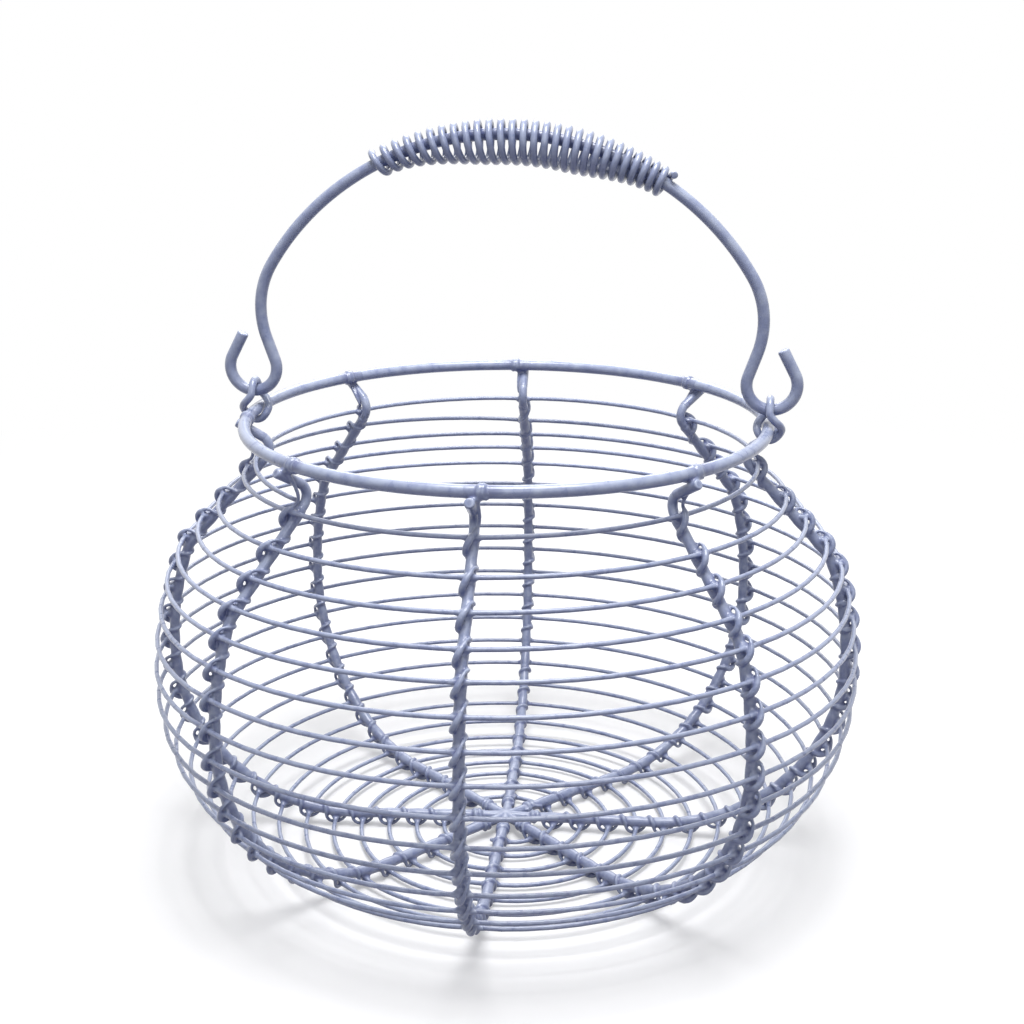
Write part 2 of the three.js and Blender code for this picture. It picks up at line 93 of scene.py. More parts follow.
class RibPlace(Enum):
    """The ribs' places round the axis, in degrees anticlockwise from +X."""

    RIGHT = 4
    BACK_RIGHT = 47
    BACK = 95
    BACK_LEFT = 140
    LEFT = 187
    FRONT_LEFT = 230
    FRONT = 273
    FRONT_RIGHT = 318

    @property
    def azimuth(self) -> float:
        """The place in radians."""
        return math.radians(self.value)

    def node(self, kind: str) -> str:
        """The name of this place's CAD node of a kind, such as rib or lashing."""
        return f"{kind}_{self.name.lower()}"


def turn_off_ribs(azimuth: float) -> float:
    """The angle from an azimuth round to the nearest rib, in radians."""
    return min(abs(math.remainder(azimuth - place.azimuth, FULL_TURN)) for place in RibPlace)


def unit(vector: np.ndarray) -> np.ndarray:
    """The vector at length one."""
    return vector / np.linalg.norm(vector)


def towards(angle: float) -> np.ndarray:
    """The plane direction at an angle from its first axis."""
    return np.array([math.cos(angle), math.sin(angle)])


def right_of(direction: np.ndarray) -> np.ndarray:
    """The plane direction a quarter turn clockwise of another."""
    return np.array([direction[1], -direction[0]])


def meridian(azimuth: float, radius: float, height: float) -> np.ndarray:
    """The point at a radius and height in the meridian plane of an azimuth."""
    return np.array([radius * math.cos(azimuth), radius * math.sin(azimuth), height])


def sideways(azimuth: float) -> np.ndarray:
    """The level direction square to a meridian plane, anticlockwise."""
    return np.array([-math.sin(azimuth), math.cos(azimuth), 0.0])


def smoothstep(value: float) -> float:
    """Eases a share from 0 to 1, held at both ends."""
    share = min(max(value, 0.0), 1.0)
    return share * share * (3 - 2 * share)


def nearness(distance: float, reach: float) -> float:
    """1 at no distance, falling to nothing beyond about twice the reach."""
    return math.exp(-((distance / reach) ** 2))


@dataclass(frozen=True)
class WireGauges:
    """Diameters of the basket's wires, and the play that the solids keep between them."""

    rim: float = 3.3
    rib: float = 2.6
    spiral: float = 1.4
    lash: float = 0.85
    bail: float = 3.2
    grip: float = 1.9
    link: float = 2.1
    gap: float = 0.3

    @property
    def spiral_to_rib(self) -> float:
        """Between the centres of the spiral and a rib that it crosses."""
        return self.spiral / 2 + self.gap + self.rib / 2


@dataclass(frozen=True)
class Stretch:
    """A straight or an arc in the meridian plane, which bends by an angle for each millimetre."""

    start: np.ndarray
    heading: float
    length: float
    bend: float = 0.0

    def at(self, distance: float) -> tuple[float, float, float]:
        """Finds a place on the stretch.

        Args:
            distance: How far along the stretch, in millimetres.

        Returns:
            Radius, height and heading there.
        """
        heading = self.heading + distance * self.bend
        if self.bend == 0.0:
            moved = self.start + distance * towards(heading)
        else:
            swing = right_of(towards(heading)) - right_of(towards(self.heading))
            moved = self.start + swing / self.bend
        return moved[0], moved[1], heading


@dataclass
class BowlOutline:
    """The bowl's outline, from the base's middle round the belly and shoulder up the neck.

    The plain outline is the spiral's centre line. An inset moves it inwards, as for the ribs.
    """

    inner_radius: float
    inset: float = 0.0
    gauges: WireGauges = field(default_factory=WireGauges)
    belly_radius: float = 97.725
    base_height: float = 1.6375
    lower_radius: float = 54.0
    upper_radius: float = 88.7
    upper_turn: float = math.radians(20)
    shoulder_radius: float = 15.0
    rim_radius: float = RIM_RADIUS
    rim_height: float = RIM_HEIGHT
    curl_radius: float = 3.8
    stub_slope: float = math.radians(30)
    stub_length: float = 5.75
    stub_past_rim: float = 2.2
    stretches: list[Stretch] = field(init=False, default_factory=list)

    def __post_init__(self) -> None:
        """Lays the straights and arcs end to end."""
        stub_to = towards(self.stub_slope)
        under_rim = np.array([self.rim_radius, self.rim_height])
        under_rim += right_of(stub_to) * (self.gauges.rim / 2 + self.gauges.gap + self.gauges.rib / 2)
        self.stub_end = under_rim + stub_to * self.stub_past_rim
        self.stub_contact = under_rim
        self.curl_centre = under_rim - stub_to * self.stub_length + right_of(stub_to) * self.curl_radius
        shoulder = np.array([self.belly_radius - self.upper_radius, self.base_height + self.lower_radius])
        shoulder += towards(self.upper_turn) * (self.upper_radius - self.shoulder_radius)
        across = self.curl_centre - shoulder
        bends = self.shoulder_radius - self.gauges.spiral_to_rib + self.curl_radius
        span = float(np.linalg.norm(across))
        self.neck_heading = math.atan2(across[1], across[0]) + math.asin(bends / span)
        self._add_straight(self.belly_radius - self.lower_radius - self.inner_radius)
        self._add_arc(self.lower_radius, math.pi / 2)
        self._add_arc(self.upper_radius, math.pi / 2 + self.upper_turn)
        self._add_arc(self.shoulder_radius, self.neck_heading)
        self.neck_length = math.sqrt(span**2 - bends**2)
        self._add_straight(self.neck_length)

    def _end(self) -> tuple[np.ndarray, float]:
        """The point and heading where the next stretch starts.

        Returns:
            Radius and height of the point, and the heading in radians.
        """
        if not self.stretches:
            return np.array([self.inner_radius, self.base_height + self.inset]), 0.0
        radius, height, heading = self.stretches[-1].at(self.stretches[-1].length)
        return np.array([radius, height]), heading

    def _add_straight(self, length: float) -> None:
        """Adds a straight of a length."""
        start, heading = self._end()
        self.stretches.append(Stretch(start, heading, length))

    def _add_arc(self, radius: float, heading_to: float) -> None:
        """Adds an arc up to a heading, with the plain outline's radius.

        Args:
            radius: The plain outline's radius, in millimetres.
            heading_to: The heading at the arc's end, in radians.
        """
        start, heading = self._end()
        own_radius = radius - self.inset
        self.stretches.append(Stretch(start, heading, own_radius * (heading_to - heading), 1 / own_radius))

    @property
    def length(self) -> float:
        """The outline's whole length."""
        return sum(stretch.length for stretch in self.stretches)

    def at(self, distance: float) -> tuple[float, float, float]:
        """Finds a place on the outline.

        Args:
            distance: How far from the inner end, in millimetres. It may be a little less than nothing.

        Returns:
            Radius, height and heading there.
        """
        left = distance
        for stretch in self.stretches[:-1]:
            if left <= stretch.length:
                return stretch.at(left)
            left -= stretch.length
        return self.stretches[-1].at(left)

    def plain_distance(self, distance: float) -> float:
        """Finds the place on the plain outline beside a place on this one.

        Args:
            distance: How far from this outline's inner end.

        Returns:
            How far along the plain outline from the same inner radius.
        """
        plain, left = 0.0, distance
        for stretch in self.stretches:
            plain += min(left, stretch.length) * (1.0 + stretch.bend * self.inset)
            left -= stretch.length
            if left <= 0:
                break
        return plain


@dataclass(frozen=True)
class DippedSkin:
    """Fuses wires that touch into the one soft skin that dipped enamel makes of them."""

    grain: float = 0.3
    passes: int = 4
    loosen: float = 0.6
    tighten: float = -0.5
    hollow_passes: int = 5
    hollow_depth: float = 0.14
    plain_pool: float = 0.55

    def fuse(self, rough: bpy.types.Mesh) -> bpy.types.Mesh:
        """Fuses a mesh of closed wires that run into each other.

        Args:
            rough: The mesh, in millimetres. It is used up.

        Returns:
            The fused skin, with the enamel that has pooled in its hollows.
        """
        skin = self._remesh(rough)
        soft = self._read(skin, "co")
        normals = self._read(skin, "normal")
        edges = np.empty(len(skin.edges) * 2, dtype=np.int32)
        skin.edges.foreach_get("vertices", edges)
        starts, ends = edges.reshape(-1, 2).T
        links = (np.concatenate([starts, ends]), np.concatenate([ends, starts]))

        for _ in range(self.passes):
            soft = self._relax(soft, links, self.loosen)
            soft = self._relax(soft, links, self.tighten)
        slack = soft
        for _ in range(self.hollow_passes):
            slack = self._relax(slack, links, self.loosen)
        hollow = np.sum((slack - soft) * normals, axis=1)
        skin.vertices.foreach_set("co", soft.ravel())
        pool = skin.attributes.new(POOL_AND_SHADE_ATTRIBUTE, "FLOAT", "POINT")
        pool.data.foreach_set("value", np.clip(self.plain_pool + hollow / self.hollow_depth, 0.0, 1.0))
        return skin

    def _remesh(self, rough: bpy.types.Mesh) -> bpy.types.Mesh:
        """Covers closed wires with one even skin of small faces.

        Args:
            rough: The wires' mesh, which is used up.

        Returns:
            The skin.
        """
        holder = bpy.data.objects.new(rough.name, rough)
        bpy.context.scene.collection.objects.link(holder)
        remesh = holder.modifiers.new("fuse", "REMESH")
        remesh.mode = "VOXEL"
        remesh.voxel_size = self.grain
        graph = bpy.context.evaluated_depsgraph_get()
        skin = bpy.data.meshes.new_from_object(holder.evaluated_get(graph))
        bpy.data.objects.remove(holder)
        bpy.data.meshes.remove(rough)
        return skin

    @staticmethod
    def _read(skin: bpy.types.Mesh, kind: str) -> np.ndarray:
        """Reads a value of every point of a skin.

        Args:
            skin: The skin.
            kind: The value's name, such as co or normal.

        Returns:
            The values' three parts, one point a row.
        """
        values = np.empty(len(skin.vertices) * 3)
        skin.vertices.foreach_get(kind, values)
        return values.reshape(-1, 3)

    @staticmethod
    def _relax(places: np.ndarray, links: tuple[np.ndarray, np.ndarray], share: float) -> np.ndarray:
        """Moves each place by a share of the way to the middle of its neighbours.

        Args:
            places: The points, one a row.
            links: Each point of an edge, and its neighbour.
            share: How far to move. Less than nothing moves away.

        Returns:
            The moved points.
        """
        near, far = links
        sums = np.stack([np.bincount(near, places[far, axis], len(places)) for axis in range(3)], axis=1)
        counts = np.bincount(near, minlength=len(places))[:, None]
        return places + share * (sums / counts - places)


@dataclass
class Strand:
    """A wire's centre line as it is laid, with the wire's section at each point."""

    path: list[np.ndarray] = field(default_factory=list)
    hints: list[np.ndarray] = field(default_factory=list)
    widths: list[float] = field(default_factory=list)
    pools: list[float] = field(default_factory=list)

    def lay(self, point: np.ndarray, hint: np.ndarray, width: float, pool: float = 0.0) -> None:
        """Lays the next point.

        Args:
            point: The point.
            hint: A direction there that isn't along the wire, to turn its section by.
            width: The wire's diameter there.
            pool: How much enamel has pooled there, from 0 to 1, and on the grip coil and the bail under it
                also painted shade.
        """
        self.path.append(point)
        self.hints.append(hint)
        self.widths.append(width)
        self.pools.append(pool)

    def add_tips(self, length: float) -> None:
        """Runs both ends straight on.

        Args:
            length: How far, in millimetres.
        """
        before = self.path[0] + unit(self.path[0] - self.path[1]) * length
        after = self.path[-1] + unit(self.path[-1] - self.path[-2]) * length
        self.path = [before, *self.path, after]
        for values in (self.hints, self.widths, self.pools):
            values.insert(0, values[0])
            values.append(values[-1])


@dataclass
class WireMesh:
    """Gathers round wires and beads of enamel into one mesh, in millimetres.

    Each point also keeps how much enamel has pooled there, from 0 to 1; on the grip coil and on the bail
    under it this also carries painted shade.
    """

    name: str
    edge: float = 0.3
    edge_rings: int = 3
    bead_sides: int = 12
    bead_rings: int = 7
    points: list[np.ndarray] = field(default_factory=list)
    faces: list[tuple[int, ...]] = field(default_factory=list)
    pooled: list[float] = field(default_factory=list)
    skin: bpy.types.Mesh | None = None

    def _add_ring(self, centre: np.ndarray, out: np.ndarray, across: np.ndarray, radius: float,
                  sides: int, pool: float) -> None:
        """Adds one round section of a wire.

        Args:
            centre: The section's middle.
            out: Direction of its first point.
            across: Direction square to that.
            radius: The wire's radius there.
            sides: Points round the wire.
            pool: How much enamel has pooled, from 0 to 1, and on the grip coil and the bail under it also
                painted shade.
        """
        for side in range(sides):
            angle = FULL_TURN * side / sides
            self.points.append(centre + radius * (math.cos(angle) * out + math.sin(angle) * across))
            self.pooled.append(pool)

    def add_wire(self, strand: Strand, sides: int, ring: bool = False) -> None:
        """Sweeps a round wire along a strand, with cut ends unless it is a ring.

        Args:
            strand: The wire's centre line and sections.
            sides: Points round the wire.
            ring: Whether the wire closes on itself.
        """
        path = strand.path
        count = len(path)
        first = len(self.points)
        sections = 0
        for i, here in enumerate(path):
            before = path[(i - 1) % count] if ring else path[max(i - 1, 0)]
            after = path[(i + 1) % count] if ring else path[min(i + 1, count - 1)]
            along = unit(after - before)
            across = unit(np.cross(along, strand.hints[i]))
            out = np.cross(across, along)
            radius = strand.widths[i] / 2
            rings = [(0.0, 1.0)]
            if not ring and i in (0, count - 1):
                rings = self._cut_end(-1 if i == 0 else 1)
            for shift, share in rings:
                centre = here + along * (shift * radius)
                self._add_ring(centre, out, across, share * radius, sides, strand.pools[i])
                sections += 1
        self._skin(first, sections, sides, ring)

    def _cut_end(self, end: int) -> list[tuple[float, float]]:
        """The sections of a cut end with a rounded edge.

        Args:
            end: -1 at the wire's start and 1 at its end.

        Returns:
            Shift along the wire and width of each section, as shares of the wire's radius.
        """
        angles = [math.pi / 2 * k / self.edge_rings for k in range(self.edge_rings + 1)]
        rings = [(end * self.edge * (math.sin(a) - 1), 1 - self.edge * (1 - math.cos(a))) for a in angles]
        return rings[::-1] if end < 0 else rings

    def _skin(self, first: int, sections: int, sides: int, ring: bool) -> None:
        """Joins round sections with faces, and closes the ends of an open wire.

        Args:
            first: Number of the first section's first point.
            sections: How many sections there are.
            sides: Points round each.
            ring: Whether the last section joins the first.
        """
        for i in range(sections if ring else sections - 1):
            here = first + i * sides
            after = first + (i + 1) % sections * sides
            for j in range(sides):
                turn = (j + 1) % sides
                self.faces.append((here + j, here + turn, after + turn, after + j))
        if not ring:
            last = first + (sections - 1) * sides
            self.faces.append(tuple(first + j for j in reversed(range(sides))))
            self.faces.append(tuple(last + j for j in range(sides)))

    def add_bead(self, centre: np.ndarray, half_axes: Sequence[np.ndarray]) -> None:
        """Adds a rounded bead of pooled enamel.

        Args:
            centre: The bead's middle.
            half_axes: Its three half axes, the last towards its poles.
        """
        first = len(self.points)
        for k in range(self.bead_rings):
            slope = math.pi * (k + 0.5) / self.bead_rings - math.pi / 2
            for side in range(self.bead_sides):
                angle = FULL_TURN * side / self.bead_sides
                level = math.cos(slope) * (math.cos(angle) * half_axes[0] + math.sin(angle) * half_axes[1])
                self.points.append(centre + level + math.sin(slope) * half_axes[2])
                self.pooled.append(1.0)
        self._skin(first, self.bead_rings, self.bead_sides, ring=False)

    def _plain_skin(self) -> bpy.types.Mesh:
        """The gathered wires and beads as they are, as a mesh in millimetres.

        Returns:
            The mesh, with the pool attribute.
        """
        mesh = bpy.data.meshes.new(self.name)
        mesh.from_pydata([tuple(point) for point in self.points], [], self.faces)
        pool = mesh.attributes.new(POOL_AND_SHADE_ATTRIBUTE, "FLOAT", "POINT")
        pool.data.foreach_set("value", self.pooled)
        return mesh

    def fuse(self, dip: DippedSkin) -> None:
        """Fuses the gathered wires and beads into one skin."""
        self.skin = dip.fuse(self._plain_skin())
        self.skin.name = self.name

    def to_object(self, body: Body, slot: Slot, finishes: Finishes, nodes: Sequence[str]) -> bpy.types.Object:
        """Makes the Blender object, which rides a body and stands for CAD nodes.

        Args:
            body: The body that the piece moves with.
            slot: The record's slot that it takes its finish from.
            finishes: The materials by slot.
            nodes: The CAD nodes that it stands for.

        Returns:
            The new object.
        """
        mesh = self.skin or self._plain_skin()
        mesh.transform(Matrix.Scale(MM, 4))
        mesh.polygons.foreach_set("use_smooth", [True] * len(mesh.polygons))
        mesh.materials.clear()
        mesh.materials.append(finishes[slot])
        piece = bpy.data.objects.new(self.name, mesh)
        bpy.context.scene.collection.objects.link(piece)
        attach(piece, body.value)
        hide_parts(*nodes)
        LOG.info("%s: %d points, rides %s", self.name, len(mesh.vertices), body.value)
        return piece


@dataclass
class NodeBench:
    """Places and links the nodes of a node tree."""

    tree: bpy.types.NodeTree

    @classmethod
    def for_effect(cls, name: str, inputs: Sequence[EffectInput], outputs: dict[str, str]) -> NodeBench:
        """Starts the node group of an effect.

        Args:
            name: The group's name.
            inputs: Its inputs, with what they are unless set.
            outputs: The socket types of its outputs, by name.

        Returns:
            The bench of the new group.
        """
        tree = bpy.data.node_groups.new(name, "ShaderNodeTree")
        for item in inputs:
            socket = tree.interface.new_socket(item.name, in_out="INPUT", socket_type=item.socket)
            socket.default_value = item.default
        for output, kind in outputs.items():
            tree.interface.new_socket(output, in_out="OUTPUT", socket_type=kind)
        return cls(tree)

    def add(self, kind: str, **settings: object) -> bpy.types.Node:
        """Adds a node of a type, with its settings.

        Args:
            kind: The node's type name.
            **settings: Values of its properties, by name.

        Returns:
            The node.
        """
        node = self.tree.nodes.new(kind)
        for name, value in settings.items():
            setattr(node, name, value)
        return node

    def feed(self, source: object, target: bpy.types.NodeSocket) -> None:
        """Links a socket, or sets a plain value, on a target socket.

        Args:
            source: A socket, a number or a colour.
            target: The input that takes it.
        """
        if isinstance(source, bpy.types.NodeSocket):
            self.tree.links.new(source, target)
        else:
            target.default_value = source

    def math(self, operation: str, first: object, second: object,
             clamp: bool = False) -> bpy.types.NodeSocket:
        """Adds a Math node on two values and gives its result.

        Args:
            operation: The node's operation.
            first: A socket or a number.
            second: A socket or a number.
            clamp: Whether the result is kept from 0 to 1.

        Returns:
            The result's socket.
        """
        node = self.add("ShaderNodeMath", operation=operation, use_clamp=clamp)
        self.feed(first, node.inputs[0])
        self.feed(second, node.inputs[1])
        return node.outputs[0]

    def ramp(self, value: object, low: object, high: object) -> bpy.types.NodeSocket:
        """Spreads a range of values smoothly over 0 to 1.

        Args:
            value: The value to spread.
            low: The value that gives 0.
            high: The value that gives 1.

        Returns:
            The result's socket.
        """
        node = self.add("ShaderNodeMapRange", interpolation_type="SMOOTHSTEP")
        self.feed(value, node.inputs["Value"])
        self.feed(low, node.inputs["From Min"])
        self.feed(high, node.inputs["From Max"])
        return node.outputs["Result"]

    def mix(self, share: object, first: object, second: object) -> bpy.types.NodeSocket:
        """Mixes two colours by a share and gives the result.

        Args:
            share: How much of the second colour there is.
            first: A colour or its socket.
            second: A colour or its socket.

        Returns:
            The mixed colour's socket.
        """
        node = self.add("ShaderNodeMix", data_type="RGBA")
        self.feed(share, node.inputs["Factor"])
        self.feed(first, node.inputs[MIX_FIRST_COLOR])
        self.feed(second, node.inputs[MIX_SECOND_COLOR])
        return node.outputs[MIX_COLOR]

    def noise(self, place: bpy.types.NodeSocket, scale: object,
              detail: float = 2.0) -> bpy.types.NodeSocket:
        """Adds a noise texture and gives its value.

        Args:
            place: The coordinates' socket.
            scale: A socket or a number, in repeats a metre.
            detail: How many finer layers it has.

        Returns:
            The value's socket.
        """
        node = self.add("ShaderNodeTexNoise")
        self.feed(place, node.inputs["Vector"])
        self.feed(scale, node.inputs["Scale"])
        node.inputs["Detail"].default_value = detail
        return node.outputs["Fac"]


@dataclass(frozen=True)
class EffectInput:
    """One named input of an effect's node group."""

    name: str
    socket: str
    default: object


@dataclass
class EnamelTone:
    """Node group: the enamel's colour and roughness as it thins, pools and is rubbed, with painted light on
    faces turned up and painted shade on faces turned down.
    """

    name: str = "enamel_tone"
    inputs: tuple[EffectInput, ...] = (
        EffectInput("Thin And Lit Color", "NodeSocketColor", (1, 1, 1, 1)),
        EffectInput("Full Color", "NodeSocketColor", (1, 1, 1, 1)),
        EffectInput("Pooled And Shade Color", "NodeSocketColor", (1, 1, 1, 1)),
        EffectInput("Mottle Scale", "NodeSocketFloat", 300.0),
        EffectInput("Underside", "NodeSocketFloat", 0.5),
        EffectInput("Rubbed", "NodeSocketFloat", 0.0),
        EffectInput("Smooth", "NodeSocketFloat", 0.3),
        EffectInput("Dull", "NodeSocketFloat", 0.45),
    )
    mottle_detail: float = 3.0
    cloud_share: float = 0.17
    top_light: float = 0.22
    thin_range: tuple[float, float] = (0.3, 0.85)
    under_shade_range: tuple[float, float] = (0.35, -0.75)
    crevice_range: tuple[float, float] = (0.55, 1.6)
    crevice_depth: float = 0.7
    rubbed_range: tuple[float, float] = (0.42, 0.68)
    dull_range: tuple[float, float] = (0.3, 0.75)

    def build(self) -> bpy.types.NodeTree:
        """Makes the node group.

        Returns:
            The group, with the outputs Color and Roughness.
        """
        outputs = {"Color": "NodeSocketColor", "Roughness": "NodeSocketFloat"}
        bench = NodeBench.for_effect(self.name, self.inputs, outputs)
        given = bench.add("NodeGroupInput").outputs
        result = bench.add("NodeGroupOutput").inputs
        coordinates = bench.add("ShaderNodeTexCoord").outputs
        facing = bench.add("ShaderNodeSeparateXYZ")
        bench.feed(coordinates["Normal"], facing.inputs[0])
        pool = bench.add("ShaderNodeAttribute", attribute_name=POOL_AND_SHADE_ATTRIBUTE).outputs["Fac"]

        mottle = bench.noise(coordinates["Object"], given["Mottle Scale"], self.mottle_detail)
        cloud_scale = bench.math("MULTIPLY", given["Mottle Scale"], self.cloud_share)
        cloud = bench.noise(coordinates["Object"], cloud_scale)
        # Painted light: faces turned up lean towards the thin colour, lighter as if lit from above, on top of
        # the random thin patches
        thin_and_top_lit = bench.math("ADD", mottle, bench.math("MULTIPLY", facing.outputs["Z"], self.top_light))
        thin = bench.ramp(thin_and_top_lit, *self.thin_range)
        color = bench.mix(thin, given["Full Color"], given["Thin And Lit Color"])

        # Painted shade: faces turned down lean towards the pooled colour, darker as if in shade
        under = bench.math("MULTIPLY", bench.ramp(facing.outputs["Z"], *self.under_shade_range), given["Underside"])
        # Pooled enamel darkens the crevices; on the grip coil and the bail under it the same attribute is
        # painted shade
        filled = bench.ramp(bench.math("ADD", pool, cloud), *self.crevice_range)
        crevice = bench.math("MULTIPLY", filled, self.crevice_depth)
        pool_and_under_shade = bench.math("MAXIMUM", under, crevice, clamp=True)
        color = bench.mix(pool_and_under_shade, color, given["Pooled And Shade Color"])

        touched = bench.math("MULTIPLY", bench.ramp(cloud, *self.rubbed_range), given["Rubbed"])
        color = bench.mix(touched, color, given["Thin And Lit Color"])
        bench.feed(color, result["Color"])

        span = bench.math("SUBTRACT", given["Dull"], given["Smooth"])
        dull = bench.math("MULTIPLY", bench.ramp(mottle, *self.dull_range), span)
        bench.feed(bench.math("ADD", given["Smooth"], dull), result["Roughness"])
        return bench.tree


@dataclass
class EnamelRelief:
    """Node group: the height of the enamel's fine peel and of its slow runs."""

    name: str = "enamel_relief"
    inputs: tuple[EffectInput, ...] = (
        EffectInput("Peel Scale", "NodeSocketFloat", 1500.0),
        EffectInput("Run Scale", "NodeSocketFloat", 260.0),
        EffectInput("Run Share", "NodeSocketFloat", 0.7),
    )
    peel_detail: float = 1.0

    def build(self) -> bpy.types.NodeTree:
        """Makes the node group.

        Returns:
            The group, with the output Height.
        """
        bench = NodeBench.for_effect(self.name, self.inputs, {"Height": "NodeSocketFloat"})
        given = bench.add("NodeGroupInput").outputs
        result = bench.add("NodeGroupOutput").inputs
        place = bench.add("ShaderNodeTexCoord").outputs["Object"]
        peel = bench.noise(place, given["Peel Scale"], self.peel_detail)
        runs = bench.math("MULTIPLY", bench.noise(place, given["Run Scale"]), given["Run Share"])
        fine = bench.math("MULTIPLY", peel, bench.math("SUBTRACT", 1.0, given["Run Share"]))
        bench.feed(bench.math("ADD", fine, runs), result["Height"])
        return bench.tree


@dataclass(frozen=True)
class EnamelFinish:
    """Satin-gloss blue-grey enamel on one kind of wire."""

    name: str
    slot: Slot
    # The thin colour is also the painted light on faces turned up, and the pooled colour is also the painted
    # shade underneath
    thin: tuple[float, float, float, float] = (0.34, 0.385, 0.53, 1.0)
    full: tuple[float, float, float, float] = (0.195, 0.232, 0.40, 1.0)
    pooled: tuple[float, float, float, float] = (0.062, 0.078, 0.22, 1.0)
    mottle_scale: float = 320.0
    underside: float = 0.6
    rubbed: float = 0.0
    smooth: float = 0.26
    dull: float = 0.42
    peel_scale: float = 1500.0
    run_scale: float = 280.0
    run_share: float = 0.75
    bump_mm: float = 0.12
    bump_strength: float = 0.6
    ior: float = 1.52
    coat: float = 0.5
    coat_roughness: float = 0.18

    def material(self, tone: bpy.types.NodeTree, relief: bpy.types.NodeTree) -> bpy.types.Material:
        """Makes the finish as a material.

        Args:
            tone: The group for colour and roughness.
            relief: The group for the surface's height.

        Returns:
            The material.
        """
        made = bpy.data.materials.new(self.name)
        made.use_nodes = True
        bench = NodeBench(made.node_tree)
        shader = made.node_tree.nodes["Principled BSDF"]
        shader.inputs["Metallic"].default_value = 0.0
        shader.inputs["IOR"].default_value = self.ior
        shader.inputs["Coat Weight"].default_value = self.coat
        shader.inputs["Coat Roughness"].default_value = self.coat_roughness

        colour = bench.add("ShaderNodeGroup", node_tree=tone)
        values = (self.thin, self.full, self.pooled, self.mottle_scale, self.underside, self.rubbed,
                  self.smooth, self.dull)
        for socket, value in zip(colour.inputs, values):
            socket.default_value = value
        bench.feed(colour.outputs["Color"], shader.inputs["Base Color"])
        bench.feed(colour.outputs["Roughness"], shader.inputs["Roughness"])

        surface = bench.add("ShaderNodeGroup", node_tree=relief)
        for socket, value in zip(surface.inputs, (self.peel_scale, self.run_scale, self.run_share)):
            socket.default_value = value
        bump = bench.add("ShaderNodeBump")
        bump.inputs["Strength"].default_value = self.bump_strength
        bump.inputs["Distance"].default_value = self.bump_mm * MM
        bench.feed(surface.outputs["Height"], bump.inputs["Height"])
        bench.feed(bump.outputs["Normal"], shader.inputs["Normal"])
        return made


FINISHES = (
    EnamelFinish("heavy_wire_enamel", Slot.HEAVY, thin=(0.4, 0.45, 0.6, 1.0),
                 full=(0.232, 0.274, 0.458, 1.0)),
    EnamelFinish("spiral_enamel", Slot.SPIRAL, mottle_scale=420.0, underside=0.7),
    EnamelFinish("lashing_enamel", Slot.LASHING, mottle_scale=520.0, run_scale=420.0, smooth=0.3),
    EnamelFinish("grip_enamel", Slot.GRIP, rubbed=0.2, dull=0.36),
)
Finishes = dict[Slot, bpy.types.Material]


@dataclass
class RimRing:
    """The heavy ring at the mouth."""

    radius: float = RIM_RADIUS
    height: float = RIM_HEIGHT
    steps: int = 256
    sides: int = 20
    wrap_reach: float = 4.0
    wrap_offset: float = 3.2
    gauges: WireGauges = field(default_factory=WireGauges)

    def build(self, finishes: Finishes) -> bpy.types.Object:
        """Makes the ring, with enamel pooled beside the lashings' turns.

        Args:
            finishes: The materials by slot.

        Returns:
            The ring.
        """
        strand = Strand()
        for i in range(self.steps):
            azimuth = FULL_TURN * i / self.steps
            point = meridian(azimuth, self.radius, self.height)
            strand.lay(point, meridian(azimuth, 1.0, 0.0), self.gauges.rim, self._pool(azimuth))
        mesh = WireMesh("rim_ring_enamelled")
        mesh.add_wire(strand, self.sides, ring=True)
        return mesh.to_object(Body.BASKET, Slot.HEAVY, finishes, ["rim_ring"])

    def _pool(self, azimuth: float) -> float:
        """How much enamel has pooled at an azimuth.

        Args:
            azimuth: Radians anticlockwise from +X.

        Returns:
            From 0 to 1.
        """
        off_wrap = turn_off_ribs(azimuth - self.wrap_offset / self.radius) * self.radius
        return nearness(off_wrap, self.wrap_reach)


@dataclass
class RibFrame:
    """A place on a rib's centre line beside the spiral's outline, with its directions."""

    origin: np.ndarray
    along: np.ndarray
    outward: np.ndarray
    ahead: np.ndarray

    def place(self, side: float, out: float) -> np.ndarray:
        """The point at offsets to the side and outwards."""
        return self.origin + side * self.ahead + out * self.outward


